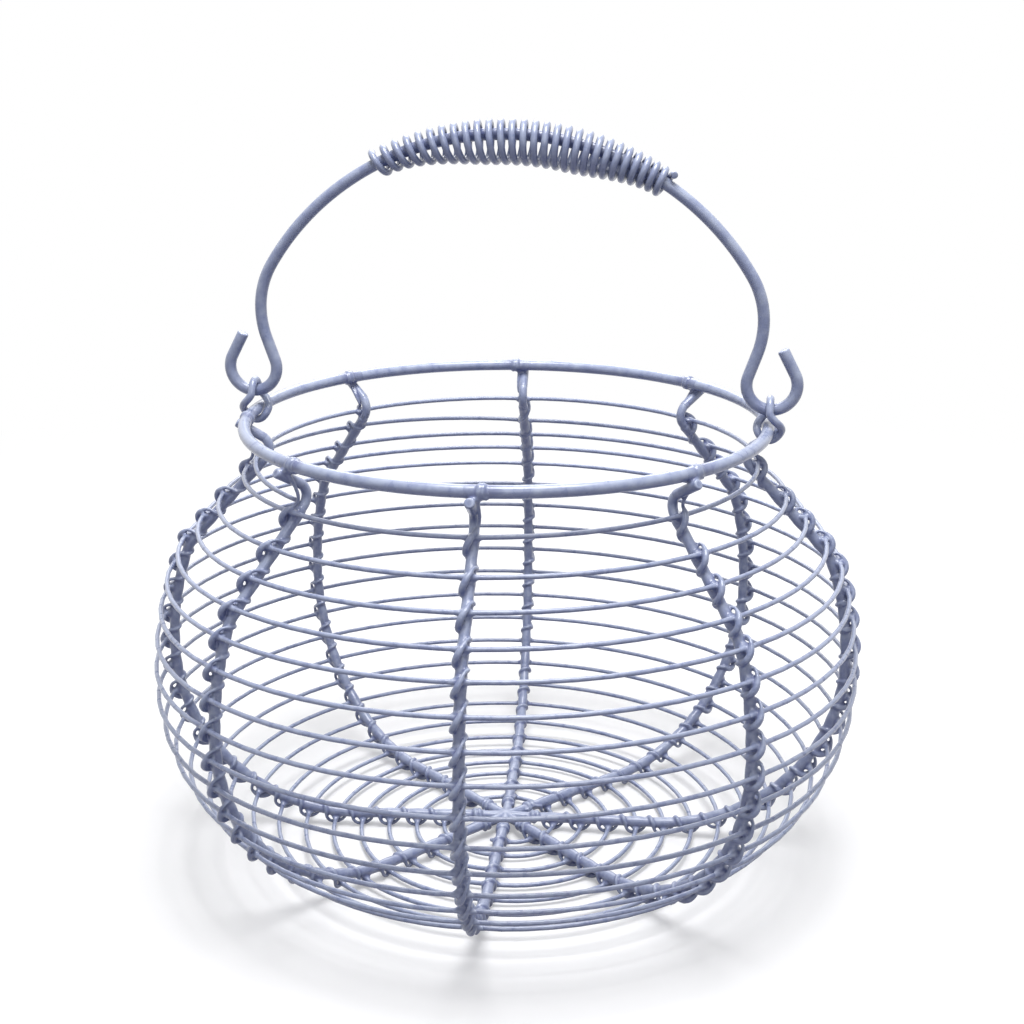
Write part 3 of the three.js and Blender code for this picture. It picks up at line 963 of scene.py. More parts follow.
@dataclass
class SpiralWall:
    """The one thin wire that winds from the base's middle up to the neck."""

    start: RibPlace = RibPlace.FRONT
    end: RibPlace = RibPlace.FRONT_LEFT
    whole_turns: int = 22
    front_lead: float = 1.75
    level_turns: float = 1.38
    neck_lead: float = 1.6
    level_ease: float = 4.0
    start_radius: float = 11.96
    drawn: float = 1.25
    steps_per_turn: int = 72
    sides: int = 10
    dip: float = 0.22
    dip_reach: float = 4.5
    pool_reach: float = 2.6
    gauges: WireGauges = field(default_factory=WireGauges)

    def __post_init__(self) -> None:
        """Finds the outline and the pitch of the turns."""
        self.outline = BowlOutline(self.start_radius)
        self.turns = self.whole_turns + self.turns_to(self.end)
        self.pitch = self.outline.length / self.turns

    def turns_to(self, place: RibPlace) -> float:
        """The share of a turn from the start to a rib."""
        return (place.azimuth - self.start.azimuth) / FULL_TURN % 1

    def distance(self, turns: float) -> float:
        """Finds how far up its outline the wire is.

        Args:
            turns: Turns from the wire's start.

        Returns:
            Millimetres along the outline. The wall's turns lead a little at the front, more so up the
            neck, and the last turn lies level under the ribs' curls.
        """
        level_from = self.turns - self.level_turns
        if turns > level_from:
            left = (self.turns - turns) / self.level_turns
            climb = self.outline.length - self.distance(level_from)
            return self.outline.length - climb * left**self.level_ease
        even = self.pitch * turns
        lead = self.front_lead * math.sin(self.outline.at(even)[2])
        neck = self.outline.neck_length
        up_neck = smoothstep((even - self.outline.length + neck) / (neck / 2))
        frontness = math.cos(FULL_TURN * turns)
        return even + lead * frontness + self.neck_lead * up_neck * (1 + frontness) / 2

    def centre(self, turns: float) -> tuple[np.ndarray, np.ndarray, float]:
        """Finds a point of the wire's centre line.

        Args:
            turns: Turns from the wire's start.

        Returns:
            The point, the direction out of the bowl there, and how far off the nearest rib it is.
        """
        azimuth = self.start.azimuth + FULL_TURN * turns
        radius, height, heading = self.outline.at(self.distance(turns))
        outward = meridian(azimuth, math.sin(heading), -math.cos(heading))
        off_rib = turn_off_ribs(azimuth) * radius
        drawn_in = self.dip * nearness(off_rib, self.dip_reach)
        return meridian(azimuth, radius, height) - outward * drawn_in, outward, off_rib

    def crossing_turns(self, place: RibPlace) -> list[float]:
        """Finds the turns at which the wire crosses a rib, from the base up.

        Args:
            place: The rib's place.

        Returns:
            Turns from the wire's start, with their parts.
        """
        last = self.turns - self.gauges.spiral / self.pitch
        first = self.turns_to(place)
        return [first + k for k in range(self.whole_turns + 1) if first + k < last]

    def crossings(self, place: RibPlace) -> list[float]:
        """Finds how far along the outline the wire crosses a rib, from the base up."""
        return [self.distance(turns) for turns in self.crossing_turns(place)]

    def rib_frame(self, place: RibPlace, distance: float) -> RibFrame:
        """Finds the frame on a rib at a distance along the outline.

        Args:
            place: The rib's place.
            distance: Millimetres along the outline.

        Returns:
            The frame there.
        """
        radius, height, heading = self.outline.at(distance)
        along = meridian(place.azimuth, math.cos(heading), math.sin(heading))
        outward = meridian(place.azimuth, math.sin(heading), -math.cos(heading))
        origin = meridian(place.azimuth, radius, height) - outward * self.gauges.spiral_to_rib
        return RibFrame(origin, along, outward, sideways(place.azimuth))

    def build(self, finishes: Finishes) -> bpy.types.Object:
        """Makes the wire, drawn in a little at each rib.

        Args:
            finishes: The materials by slot.

        Returns:
            The wire.
        """
        steps = round(self.turns * self.steps_per_turn)
        strand = Strand()
        for i in range(steps + 1):
            point, outward, off_rib = self.centre(self.turns * i / steps)
            strand.lay(point, outward, self.drawn, nearness(off_rib, self.pool_reach))
        mesh = WireMesh("spiral_wall_enamelled")
        mesh.add_wire(strand, self.sides)
        return mesh.to_object(Body.BASKET, Slot.SPIRAL, finishes, ["spiral_wire"])


@dataclass
class RibCage:
    """The eight stiff wires inside the spiral, curled under the rim."""

    spiral: SpiralWall
    inner_end: float = 4.707
    drawn_end: float = -0.4
    drawn_steps: int = 4
    step: float = 1.2
    curl_steps: int = 28
    sides: int = 14
    pool_reach: float = 1.8
    pool_share: float = 0.6
    gauges: WireGauges = field(default_factory=WireGauges)

    def __post_init__(self) -> None:
        """Finds the ribs' outline."""
        self.outline = BowlOutline(self.inner_end, self.gauges.spiral_to_rib)

    def wall_line(self, place: RibPlace) -> tuple[list[np.ndarray], list[float]]:
        """Finds a rib's centre line from the base's middle, where all are fused, up to its neck.

        Args:
            place: The rib's place.

        Returns:
            Its points, and how far each is from the nearest crossing with the spiral.
        """
        crossings = self.spiral.crossings(place)
        inside = self.inner_end - self.spiral.start_radius
        steps = round(self.outline.length / self.step)
        points, off_crossing = [], []
        for i in range(self.drawn_steps):
            radius = self.drawn_end + (self.inner_end - self.drawn_end) * i / self.drawn_steps
            points.append(meridian(place.azimuth, radius, self.outline.at(0.0)[1]))
            off_crossing.append(radius - self.drawn_end)
        for i in range(steps + 1):
            distance = self.outline.length * i / steps
            radius, height, _ = self.outline.at(distance)
            beside = self.outline.plain_distance(distance) + inside
            points.append(meridian(place.azimuth, radius, height))
            off_crossing.append(min(abs(beside - crossing) for crossing in crossings))
        return points, off_crossing

    def head_line(self, place: RibPlace) -> list[np.ndarray]:
        """Finds a rib's centre line round its curl and out along its stub.

        Args:
            place: The rib's place.

        Returns:
            Its points, the last two where the stub passes the rim and where it ends.
        """
        outline = self.outline
        turn_from = outline.neck_heading + math.pi / 2
        turn_to = outline.stub_slope + math.pi / 2
        places = []
        for i in range(1, self.curl_steps + 1):
            angle = turn_from + (turn_to - turn_from) * i / self.curl_steps
            places.append(outline.curl_centre + outline.curl_radius * towards(angle))
        places += [outline.stub_contact, outline.stub_end]
        return [meridian(place.azimuth, radius, height) for radius, height in places]

    def build(self, finishes: Finishes) -> list[bpy.types.Object]:
        """Makes every rib.

        Args:
            finishes: The materials by slot.

        Returns:
            The ribs, anticlockwise from the right.
        """
        pieces = []
        for place in RibPlace:
            strand = Strand()
            hint = sideways(place.azimuth)
            for point, off_crossing in zip(*self.wall_line(place)):
                pool = self.pool_share * nearness(off_crossing, self.pool_reach)
                strand.lay(point, hint, self.gauges.rib, pool)
            for point in self.head_line(place):
                strand.lay(point, hint, self.gauges.rib)
            mesh = WireMesh(f"{place.node('rib')}_enamelled")
            mesh.add_wire(strand, self.sides)
            pieces.append(mesh.to_object(Body.BASKET, Slot.HEAVY, finishes, [place.node("rib")]))
        return pieces


@dataclass
class LashedEnamel:
    """The thick enamel that a lashing is fused with, on its rib, its crossings and the rim.

    The ends of each coat are buried in the wire that they lie on.
    """

    spiral: SpiralWall
    ribs: RibCage
    coat: float = 0.08
    crossing_coat: float = 0.24
    crossing_reach: float = 2.4
    bury: float = 0.12
    sleeve_reach: float = 3.6
    sleeve_steps: int = 8
    sleeve_sides: int = 8
    web_side: float = 2.2
    web_along: float = 1.6
    web_out: float = 0.7
    rim_before: float = 2.8
    rim_after: float = 5.2
    rim_fade: float = 0.2
    rim_steps: int = 16
    stub_points: int = 8
    stub_web: float = 1.5
    stub_web_ahead: float = 0.85
    gauges: WireGauges = field(default_factory=WireGauges)

    def coat_rib(self, mesh: WireMesh, place: RibPlace) -> None:
        """Coats the rib's wall and its stub, thickest at the crossings.

        Args:
            mesh: The lashing's mesh, which gathers the coat.
            place: The rib's place.
        """
        wall, off_crossing = self.ribs.wall_line(place)
        wall_coats = [self.coat + self.crossing_coat * nearness(off, self.crossing_reach)
                      for off in off_crossing]
        wall_coats[-1] = -self.bury
        stub = self.ribs.head_line(place)[-self.stub_points:]
        stub_coats = [-self.bury] + [self.coat] * (len(stub) - 1)
        for points, coats in ((wall, wall_coats), (stub, stub_coats)):
            strand = Strand()
            for point, coat in zip(points, coats):
                strand.lay(point, sideways(place.azimuth), self.gauges.rib + 2 * coat)
            mesh.add_wire(strand, self.ribs.sides)

    def coat_crossings(self, mesh: WireMesh, place: RibPlace) -> None:
        """Coats the spiral where it crosses the rib, and webs the corners between them.

        Args:
            mesh: The lashing's mesh, which gathers the coat.
            place: The rib's place.
        """
        for turns in self.spiral.crossing_turns(place):
            distance = self.spiral.distance(turns)
            turn_length = FULL_TURN * self.spiral.outline.at(distance)[0]
            strand = Strand()
            for i in range(-self.sleeve_steps, self.sleeve_steps + 1):
                share = i / self.sleeve_steps
                point, outward, _ = self.spiral.centre(turns + share * self.sleeve_reach / turn_length)
                coat = self.crossing_coat * (1 - share**2) - self.bury * share**2
                strand.lay(point, outward, self.spiral.drawn + 2 * coat)
            mesh.add_wire(strand, self.sleeve_sides)
            frame = self.spiral.rib_frame(place, distance)
            middle = frame.place(0.0, (self.gauges.rib + self.gauges.gap) / 2)
            axes = (self.web_side * frame.ahead, self.web_along * frame.along, self.web_out * frame.outward)
            mesh.add_bead(middle, axes)

    def coat_rim(self, mesh: WireMesh, place: RibPlace) -> None:
        """Coats the rim beside the stub and under the turns of wire, and webs their corner.

        Args:
            mesh: The lashing's mesh, which gathers the coat.
            place: The rib's place.
        """
        outline = self.spiral.outline
        strand = Strand()
        for i in range(self.rim_steps + 1):
            share = i / self.rim_steps
            shift = share * (self.rim_before + self.rim_after) - self.rim_before
            azimuth = place.azimuth + shift / outline.rim_radius
            point = meridian(azimuth, outline.rim_radius, outline.rim_height)
            swell = smoothstep(min(share, 1 - share) / self.rim_fade)
            coat = (self.coat + self.bury) * swell - self.bury
            strand.lay(point, meridian(azimuth, 1.0, 0.0), self.gauges.rim + 2 * coat)
        mesh.add_wire(strand, self.ribs.sides)
        stub = self.ribs.head_line(place)[-2]
        rim = meridian(place.azimuth, outline.rim_radius, outline.rim_height)
        ahead = sideways(place.azimuth)
        to_rim = unit(rim - stub)
        middle = stub + to_rim * self.gauges.rib / 2 + ahead * self.stub_web_ahead
        axes = (self.stub_web * ahead, self.stub_web * np.cross(ahead, to_rim), self.stub_web / 2 * to_rim)
        mesh.add_bead(middle, axes)


@dataclass
class Lashings:
    """The very thin wires that tie the spiral to the ribs and the ribs to the rim.

    Each is fused with the enamel that lies thick on its rib, its crossings and its place on the rim.
    """

    spiral: SpiralWall
    enamel: LashedEnamel
    dip: DippedSkin = field(default_factory=DippedSkin)
    end_turns: int = 2
    end_pitch: float = 1.35
    inner_start: float = 6.685
    first_angle: float = math.radians(240)
    rim_angle: float = math.radians(-30)
    drawn: float = 1.04
    rim_side: float = 1.7
    rim_pitch: float = 0.95
    rim_sunk: float = 0.42
    reach_along: float = 3.1
    seat: float = 0.12
    steps_per_turn: int = 24
    last_steps: int = 8
    lead_steps: int = 12
    sides: int = 8
    fill_above: float = 12.0
    fill_from: float = math.radians(-105)
    fill_to: float = math.radians(35)
    fill_steps: int = 12
    fill_width: float = 0.85
    fill_drop: float = 0.45
    gauges: WireGauges = field(default_factory=WireGauges)

    def build(self, finishes: Finishes) -> list[bpy.types.Object]:
        """Makes every lashing."""
        return [self._build_lashing(place, finishes) for place in RibPlace]

    @property
    def over_spiral(self) -> float:
        """From the rib's centre to a strand that passes over the spiral and touches the table."""
        return self.spiral.outline.base_height + self.gauges.spiral_to_rib - self.gauges.lash / 2

    @property
    def on_rib(self) -> float:
        """From the rib's centre to a strand that lies on the rib."""
        return (self.gauges.rib + self.gauges.lash) / 2 - self.seat

    def _build_lashing(self, place: RibPlace, finishes: Finishes) -> bpy.types.Object:
        """Makes one lashing, with the enamel that fills the corners of each crossing.

        Args:
            place: The rib's place.
            finishes: The materials by slot.

        Returns:
            The lashing.
        """
        mesh = WireMesh(f"{place.node('lashing')}_enamelled")
        strand = Strand()
        self._wind_inner_end(strand, place)
        self._wind_crossings(strand, place)
        self._lead(strand, self._rim_turns(place))
        mesh.add_wire(strand, self.sides)
        self.enamel.coat_rib(mesh, place)
        self.enamel.coat_crossings(mesh, place)
        self._fill_strands(mesh, place)
        self.enamel.coat_rim(mesh, place)
        mesh.fuse(self.dip)
        return mesh.to_object(Body.BASKET, Slot.LASHING, finishes, [place.node("lashing")])

    def _fill_strands(self, mesh: WireMesh, place: RibPlace) -> None:
        """Fills the corner under each slanting strand with enamel, on the wall alone.

        Args:
            mesh: The lashing's mesh, which gathers the coat.
            place: The rib's place.
        """
        for distance in self.spiral.crossings(place):
            if self.spiral.rib_frame(place, distance).origin[2] < self.fill_above:
                continue
            strand = Strand()
            for i in range(self.fill_steps + 1):
                share = i / self.fill_steps
                angle = self.fill_from + (self.fill_to - self.fill_from) * share
                under = distance + self.reach_along * math.sin(angle) - self.fill_drop
                width = self.drawn + self.fill_width * math.sin(math.pi * share)
                self._lay(strand, place, under, angle, width)
            mesh.add_wire(strand, self.sides)

    def _wind_inner_end(self, strand: Strand, place: RibPlace) -> None:
        """Winds the tight turns near the base's middle.

        Args:
            strand: The lashing's strand, which it adds to.
            place: The rib's place.
        """
        for i in range(self.end_turns * self.steps_per_turn + 1):
            turns = i / self.steps_per_turn
            angle = self.first_angle + FULL_TURN * turns
            distance = self.inner_start - self.spiral.start_radius + self.end_pitch * turns
            frame = self.spiral.rib_frame(place, distance)
            point = frame.place(self.on_rib * math.sin(angle), self.on_rib * math.cos(angle))
            strand.lay(point, point - frame.origin, self.drawn)

    def _wind_crossings(self, strand: Strand, place: RibPlace) -> None:
        """Winds one turn over each crossing, slanting over the spiral and level behind the rib.

        Args:
            strand: The lashing's strand, which it adds to.
            place: The rib's place.
        """
        crossings = self.spiral.crossings(place)
        half = self.steps_per_turn // 2
        last = len(crossings) - 1
        for k, distance in enumerate(crossings):
            front_steps = half if k < last else self.last_steps
            for i in range(front_steps + 1):
                angle = -math.pi / 2 + math.pi * i / half
                self._lay(strand, place, distance + self.reach_along * math.sin(angle), angle, self.drawn)
            if k == last:
                break
            start = distance + self.reach_along
            end = crossings[k + 1] - self.reach_along
            for i in range(1, half):
                share = i / half
                angle = math.pi / 2 + math.pi * share
                self._lay(strand, place, start + (end - start) * share, angle, self.drawn)

    def _lay(self, strand: Strand, place: RibPlace, distance: float, angle: float, width: float) -> None:
        """Lays one point of a turn, on the rib behind and out over the spiral in front.

        Args:
            strand: The strand, which it adds to.
            place: The rib's place.
            distance: Millimetres along the outline.
            angle: Radians round the rib, from the outside.
            width: The strand's diameter there.
        """
        frame = self.spiral.rib_frame(place, distance)
        reach = self.over_spiral if math.cos(angle) > 0 else self.on_rib
        point = frame.place(self.on_rib * math.sin(angle), reach * math.cos(angle))
        strand.lay(point, frame.ahead * math.sin(angle) + frame.outward * math.cos(angle), width)

    def _rim_turns(self, place: RibPlace) -> Strand:
        """Winds the turns on the rim, on the anticlockwise side of the rib.

        Args:
            place: The rib's place.

        Returns:
            The turns alone.
        """
        outline = self.spiral.outline
        wrap_radius = (self.gauges.rim + self.gauges.lash) / 2 - self.rim_sunk
        strand = Strand()
        for i in range(self.end_turns * self.steps_per_turn + 1):
            turns = i / self.steps_per_turn
            angle = self.rim_angle + FULL_TURN * turns
            azimuth = place.azimuth + (self.rim_side + self.rim_pitch * turns) / outline.rim_radius
            out = meridian(azimuth, math.cos(angle), math.sin(angle))
            middle = meridian(azimuth, outline.rim_radius, outline.rim_height)
            strand.lay(middle + wrap_radius * out, out, self.drawn)
        return strand

    def _lead(self, strand: Strand, onto: Strand) -> None:
        """Leads the strand from the last crossing in one smooth curve to its turns on the rim.

        Args:
            strand: The lashing's strand, which it adds to.
            onto: The turns on the rim.
        """
        start, end = strand.path[-1], onto.path[0]
        span = float(np.linalg.norm(end - start))
        leave = unit(start - strand.path[-2]) * span
        arrive = unit(onto.path[1] - end) * span
        hint_from = strand.hints[-1]
        for i in range(1, self.lead_steps):
            t = i / self.lead_steps
            place = (2 * t**3 - 3 * t**2 + 1) * start + (t**3 - 2 * t**2 + t) * leave
            place = place + (3 * t**2 - 2 * t**3) * end + (t**3 - t**2) * arrive
            strand.lay(place, unit(hint_from * (1 - t) + onto.hints[0] * t), self.drawn)
        for point, hint in zip(onto.path, onto.hints):
            strand.lay(point, hint, self.drawn)


@dataclass
class BailHandle:
    """The arched handle with an upturned hook at each end."""

    arch_radius: float = 75.5
    arch_height: float = 126.55
    pivot_height: float = 129.55
    hook_place: float = 71.2
    hook_radius: float = 6.65
    leg_lean: float = math.radians(19)
    tip_lean: float = math.radians(28)
    tip_length: float = 7.3
    tip_shares: tuple[float, ...] = (1.0, 0.66, 0.33)
    bend_radius: float = 25.0
    flattened: float = 1.8
    hook_pool: float = 0.35
    hook_pool_top: float = 14.0
    hook_pool_fade: float = 12.0
    under_grip_shade: float = 0.75
    grip_from: float = math.radians(-26.5)
    grip_to: float = math.radians(33.0)
    steps_per_radian: int = 26
    least_steps: int = 4
    sides: int = 20
    gauges: WireGauges = field(default_factory=WireGauges)

    def centre_line(self) -> list[np.ndarray]:
        """Finds the bail's centre line in its own plane.

        Returns:
            Places across and up, from the right hook's tip over the crown to the left one's.
        """
        hook_centre = np.array([self.hook_place, self.pivot_height + self.hook_radius])
        tip_foot = hook_centre + self.hook_radius * towards(self.tip_lean)
        places = [tip_foot + self.tip_length * share * towards(self.tip_lean + math.pi / 2)
                  for share in self.tip_shares]
        self._add_arc(places, hook_centre, self.hook_radius, self.tip_lean, -math.pi - self.leg_lean)
        arch_centre = np.array([0.0, self.arch_height])
        bend_centre = self.bend_centre()
        arch_from = math.atan2(*(bend_centre - arch_centre)[::-1])
        self._add_arc(places, bend_centre, self.bend_radius, -self.leg_lean, arch_from)
        places.pop()
        self._add_arc(places, arch_centre, self.arch_radius, arch_from, math.pi / 2)
        places = [np.array([place[0], self.flatten(place[1])]) for place in places]
        return places + [np.array([-place[0], place[1]]) for place in places[-2::-1]]

    def bend_centre(self) -> np.ndarray:
        """Finds the centre of the bend between a hook's leg and the arch, whose circle touches both.

        Returns:
            Its place across and up, on the right side.
        """
        arch_centre = np.array([0.0, self.arch_height])
        hook_centre = np.array([self.hook_place, self.pivot_height + self.hook_radius])
        leg_up = towards(math.pi / 2 - self.leg_lean)
        leg_foot = hook_centre + self.hook_radius * towards(-math.pi - self.leg_lean)
        bend_foot = leg_foot - self.bend_radius * right_of(leg_up) - arch_centre
        reach = self.arch_radius - self.bend_radius
        half = float(bend_foot @ leg_up)
        leg_length = math.sqrt(half**2 - float(bend_foot @ bend_foot) + reach**2) - half
        return bend_foot + leg_length * leg_up + arch_centre

    def flatten(self, height: float) -> float:
        """Lowers a height on the round arch to the real one, which is flatter above its widest place.

        Args:
            height: Millimetres above the table on the round arch.

        Returns:
            The height on the flattened arch.
        """
        widest = float(self.bend_centre()[1])
        crown = self.arch_height + self.arch_radius
        return height - self.flattened * max(0.0, height - widest) / (crown - widest)

    def _add_arc(self, places: list[np.ndarray], centre: np.ndarray, radius: float, start: float,
                 end: float) -> None:
        """Adds an arc's points to a line of places.

        Args:
            places: The line so far, which it adds to.
            centre: The arc's centre.
            radius: Its radius.
            start: The angle where it starts, in radians.
            end: The angle where it ends.
        """
        finer = max(1.0, radius / self.bend_radius)
        steps = max(self.least_steps, round(abs(end - start) * self.steps_per_radian * finer))
        for i in range(steps + 1):
            places.append(centre + radius * towards(start + (end - start) * i / steps))

    def build(self, finishes: Finishes) -> bpy.types.Object:
        """Makes the bail, with enamel worn thin everywhere but in its hooks, and painted shade under its
        grip.

        Args:
            finishes: The materials by slot.

        Returns:
            The bail.
        """
        strand = Strand()
        for across, up in self.centre_line():
            point = np.array([across, 0.0, up])
            strand.lay(point, -FRONTWARDS, self.gauges.bail, self._pool(point))
        mesh = WireMesh("handle_bail_enamelled")
        mesh.add_wire(strand, self.sides)
        return mesh.to_object(Body.HANDLE, Slot.HEAVY, finishes, ["handle_bail"])

    def _pool(self, point: np.ndarray) -> float:
        """Finds how thick the enamel lies at a point of the bail, with painted shade under the grip.

        Args:
            point: A point of the centre line.

        Returns:
            From 0 to 1.
        """
        lean = math.atan2(point[0], point[2] - self.arch_height)
        above_hook = point[2] - self.pivot_height
        # Painted shade: the bail under the grip coil gets the pooled colour, as if shaded by the coil
        if above_hook > self.hook_pool_top and self.grip_from < lean < self.grip_to:
            return self.under_grip_shade
        return self.hook_pool * smoothstep((self.hook_pool_top - above_hook) / self.hook_pool_fade)


@dataclass
class GripCoil:
    """The loose barrel-shaped spring that hangs on the bail's crown."""

    bail: BailHandle
    middle_diameter: float = 12.2
    end_play: float = 0.05
    swell_share: float = 0.38
    lean_from: float = math.radians(-27.3)
    lean_to: float = math.radians(33.8)
    turn_gap: float = 0.97
    pitch_ease: float = 0.16
    turn_underside_shade: float = 0.4
    solid_steps_per_turn: int = 8
    steps_per_turn: int = 28
    sides: int = 12
    gauges: WireGauges = field(default_factory=WireGauges)

    def build(self, finishes: Finishes) -> bpy.types.Object:
        """Makes the coil, with a straight tip at each end and painted shade on the lower side of each turn.

        Args:
            finishes: The materials by slot.

        Returns:
            The coil.
        """
        span = self.bail.arch_radius * (self.lean_to - self.lean_from)
        turns = round(span / (self.gauges.grip + self.turn_gap))
        steps = turns * self.steps_per_turn
        flat_share = math.cos(math.pi / self.solid_steps_per_turn)
        on_bail = (self.gauges.bail + self.gauges.grip) / 2 + self.gauges.gap
        end_radius = (on_bail + self.end_play) / flat_share
        middle_radius = (self.middle_diameter - self.gauges.grip) / 2
        strand = Strand()
        for i in range(steps + 1):
            t = i / steps
            swell = smoothstep(min(t, 1 - t) / self.swell_share)
            radius = end_radius + (middle_radius - end_radius) * swell
            lean = self.lean_from + (self.lean_to - self.lean_from) * (t + self.pitch_ease * t * (1 - t))
            up = np.array([math.sin(lean), 0.0, math.cos(lean)])
            turn = FULL_TURN * i / self.steps_per_turn
            out = up * math.cos(turn) + FRONTWARDS * math.sin(turn)
            on_arch = up * self.bail.arch_radius
            on_arch[2] = self.bail.flatten(on_arch[2] + self.bail.arch_height)
            point = on_arch - up * (radius * flat_share - on_bail) + out * radius
            # Painted shade: the lower side of each turn leans towards the pooled colour, as if in shade
            strand.lay(point, out, self.gauges.grip, self.turn_underside_shade * smoothstep(-math.cos(turn)))
        strand.add_tips(self.gauges.grip)
        mesh = WireMesh("grip_coil_enamelled")
        mesh.add_wire(strand, self.sides)
        return mesh.to_object(Body.HANDLE, Slot.GRIP, finishes, ["grip_coil"])


@dataclass
class SwingLinks:
    """The two twisted oval rings between the hooks and the rim."""

    centre_out: float = 71.0
    foot_height: float = 121.2
    half_width: float = 3.8
    half_length: float = 5.65
    twist_from: float = 0.1
    twist_to: float = 0.75
    steps: int = 96
    sides: int = 16
    gauges: WireGauges = field(default_factory=WireGauges)

    def build(self, finishes: Finishes) -> list[bpy.types.Object]:
        """Makes both links."""
        return [self._build_link(-1, Body.LEFT_LINK, "link_left", finishes),
                self._build_link(1, Body.RIGHT_LINK, "link_right", finishes)]

    def _build_link(self, sign: int, body: Body, node: str, finishes: Finishes) -> bpy.types.Object:
        """Makes the link of one side.

        Args:
            sign: Which side, -1 for left and 1 for right.
            body: The body it rides.
            node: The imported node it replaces.
            finishes: The materials by slot.

        Returns:
            The link.
        """
        centre = np.array([sign * self.centre_out, 0.0, self.foot_height + self.half_length])
        outwards = np.array([float(sign), 0.0, 0.0])
        strand = Strand()
        for i in range(self.steps):
            angle = FULL_TURN * i / self.steps
            rise_share = (math.sin(angle) + 1) / 2
            turned = smoothstep((rise_share - self.twist_from) / (self.twist_to - self.twist_from))
            twist = math.pi / 2 * turned
            side_to = outwards * math.cos(twist) + FRONTWARDS * math.sin(twist)
            point = centre + side_to * self.half_width * math.cos(angle)
            point = point + UPWARDS * self.half_length * math.sin(angle)
            strand.lay(point, np.cross(side_to, UPWARDS), self.gauges.link)
        mesh = WireMesh(f"{node}_enamelled")
        mesh.add_wire(strand, self.sides, ring=True)
        return mesh.to_object(body, Slot.HEAVY, finishes, [node])


@dataclass(frozen=True)
class Softbox:
    """A square soft lamp that faces a point, in metres and watts."""

    name: str
    place: tuple[float, float, float]
    target: tuple[float, float, float]
    size: float
    power: float

    def build(self) -> None:
        """Hangs the lamp."""
        data = bpy.data.lights.new(self.name, "AREA")
        data.shape = "SQUARE"
        data.size = self.size
        data.energy = self.power
        lamp = bpy.data.objects.new(self.name, data)
        lamp.location = self.place
        facing = Vector(self.target) - Vector(self.place)
        lamp.rotation_euler = facing.to_track_quat("-Z", "Y").to_euler()
        bpy.context.scene.collection.objects.link(lamp)


SOFTBOXES = (
    Softbox("overhead_softbox", place=(0.05, -0.1, 0.95), target=(0.0, 0.0, 0.06), size=0.5, power=9.5),
    Softbox("front_softbox", place=(0.3, -1.2, 0.8), target=(0.0, 0.0, 0.1), size=0.6, power=2.2),
    Softbox("back_softbox", place=(-0.15, 0.85, 0.75), target=(0.0, 0.0, 0.1), size=0.6, power=4.0),
)


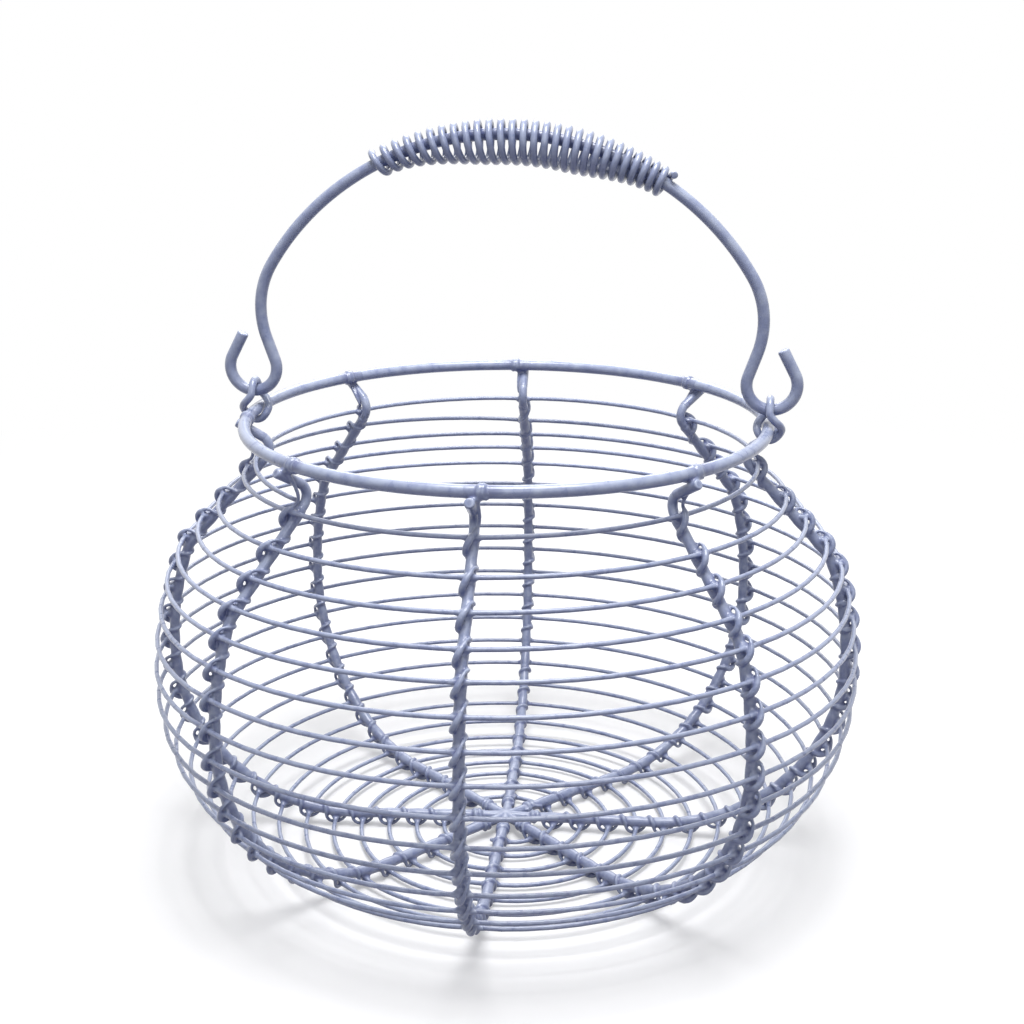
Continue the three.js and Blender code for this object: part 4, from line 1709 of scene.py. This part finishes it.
@dataclass
class Studio:
    """A pale floor, plain soft light from above and the camera of the photograph."""

    floor_half: float = 3.0
    floor_seen: tuple[float, float, float, float] = (0.90, 0.90, 0.91, 1.0)
    floor_bounce: tuple[float, float, float, float] = (0.3, 0.3, 0.31, 1.0)
    white_from: float = 0.2
    white_to: float = 0.55
    white_least: float = 0.3
    world_level: float = 0.3
    world_blue: float = 1.02
    camera_place: tuple[float, float, float] = (0.0721, -0.42762, 0.23102)
    camera_yaw: float = math.radians(9.57)
    camera_pitch: float = math.radians(17.1055)
    lens: float = 57.37
    sensor_width: float = 36.0
    clip_start: float = 0.01
    shift_x: float = 0.0057

    def build(self) -> None:
        """Sets the stage."""
        scene = bpy.context.scene
        scene.view_settings.view_transform = "Standard"
        self._build_floor()
        self._light_world()
        for softbox in SOFTBOXES:
            softbox.build()
        self._add_camera()

    def _see_background(self, bench: NodeBench) -> bpy.types.NodeSocket:
        """The share of rays that show the background: from the camera, in gloss or through glass.

        Args:
            bench: The bench of the material or world.

        Returns:
            The share's socket.
        """
        path = bench.add("ShaderNodeLightPath").outputs
        seen = bench.math("MAXIMUM", path["Is Camera Ray"], path["Is Glossy Ray"])
        return bench.math("MAXIMUM", seen, path["Is Transmission Ray"])

    def _build_floor(self) -> None:
        """Lays the floor, which keeps the shadow near the basket and is plain white far off."""
        half = self.floor_half
        mesh = bpy.data.meshes.new("studio_floor")
        corners = [(-half, -half, 0), (half, -half, 0), (half, half, 0), (-half, half, 0)]
        mesh.from_pydata(corners, [], [(0, 1, 2, 3)])
        floor = bpy.data.objects.new("studio_floor", mesh)
        bpy.context.scene.collection.objects.link(floor)

        made = bpy.data.materials.new("studio_floor")
        made.use_nodes = True
        bench = NodeBench(made.node_tree)
        shader = made.node_tree.nodes["Principled BSDF"]
        shader.inputs["Roughness"].default_value = 1.0
        shader.inputs["Specular IOR Level"].default_value = 0.0
        seen = self._see_background(bench)
        bench.feed(bench.mix(seen, self.floor_bounce, self.floor_seen), shader.inputs["Base Color"])

        place = bench.add("ShaderNodeTexCoord").outputs["Object"]
        length = bench.add("ShaderNodeVectorMath", operation="LENGTH")
        bench.feed(place, length.inputs[0])
        far = bench.ramp(length.outputs["Value"], self.white_from, self.white_to)
        share = bench.math("MULTIPLY", bench.math("MAXIMUM", far, self.white_least), seen)
        white = bench.add("ShaderNodeEmission")
        blend = bench.add("ShaderNodeMixShader")
        bench.feed(share, blend.inputs[0])
        bench.feed(shader.outputs[0], blend.inputs[1])
        bench.feed(white.outputs[0], blend.inputs[2])
        bench.feed(blend.outputs[0], made.node_tree.nodes["Material Output"].inputs["Surface"])
        mesh.materials.append(made)

    def _light_world(self) -> None:
        """Lights the scene evenly, with plain white where the background shows."""
        world = bpy.data.worlds.new("studio_world")
        world.use_nodes = True
        bpy.context.scene.world = world
        bench = NodeBench(world.node_tree)
        background = world.node_tree.nodes["Background"]
        level = (self.world_level, self.world_level, self.world_level * self.world_blue, 1.0)
        seen = self._see_background(bench)
        bench.feed(bench.mix(seen, level, (1.0, 1.0, 1.0, 1.0)), background.inputs["Color"])

    def _add_camera(self) -> None:
        """Adds the camera, at the place and angle found from the photograph."""
        data = bpy.data.cameras.new("photo_camera")
        data.sensor_width = self.sensor_width
        data.lens = self.lens
        data.shift_x = self.shift_x
        data.clip_start = self.clip_start
        camera = bpy.data.objects.new("photo_camera", data)
        camera.location = self.camera_place
        camera.rotation_euler = (math.pi / 2 - self.camera_pitch, 0.0, self.camera_yaw)
        bpy.context.scene.collection.objects.link(camera)
        bpy.context.scene.camera = camera


def main() -> None:
    """Builds the dressed basket and its stage."""
    logging.basicConfig(level=logging.INFO, format="%(message)s")
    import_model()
    tone = EnamelTone().build()
    relief = EnamelRelief().build()
    finishes = {finish.slot: finish.material(tone, relief) for finish in FINISHES}

    spiral = SpiralWall()
    bail = BailHandle()
    RimRing().build(finishes)
    spiral.build(finishes)
    ribs = RibCage(spiral)
    ribs.build(finishes)
    Lashings(spiral, LashedEnamel(spiral, ribs)).build(finishes)
    bail.build(finishes)
    GripCoil(bail).build(finishes)
    SwingLinks().build(finishes)
    Studio().build()


if __name__ == "__main__":
    main()
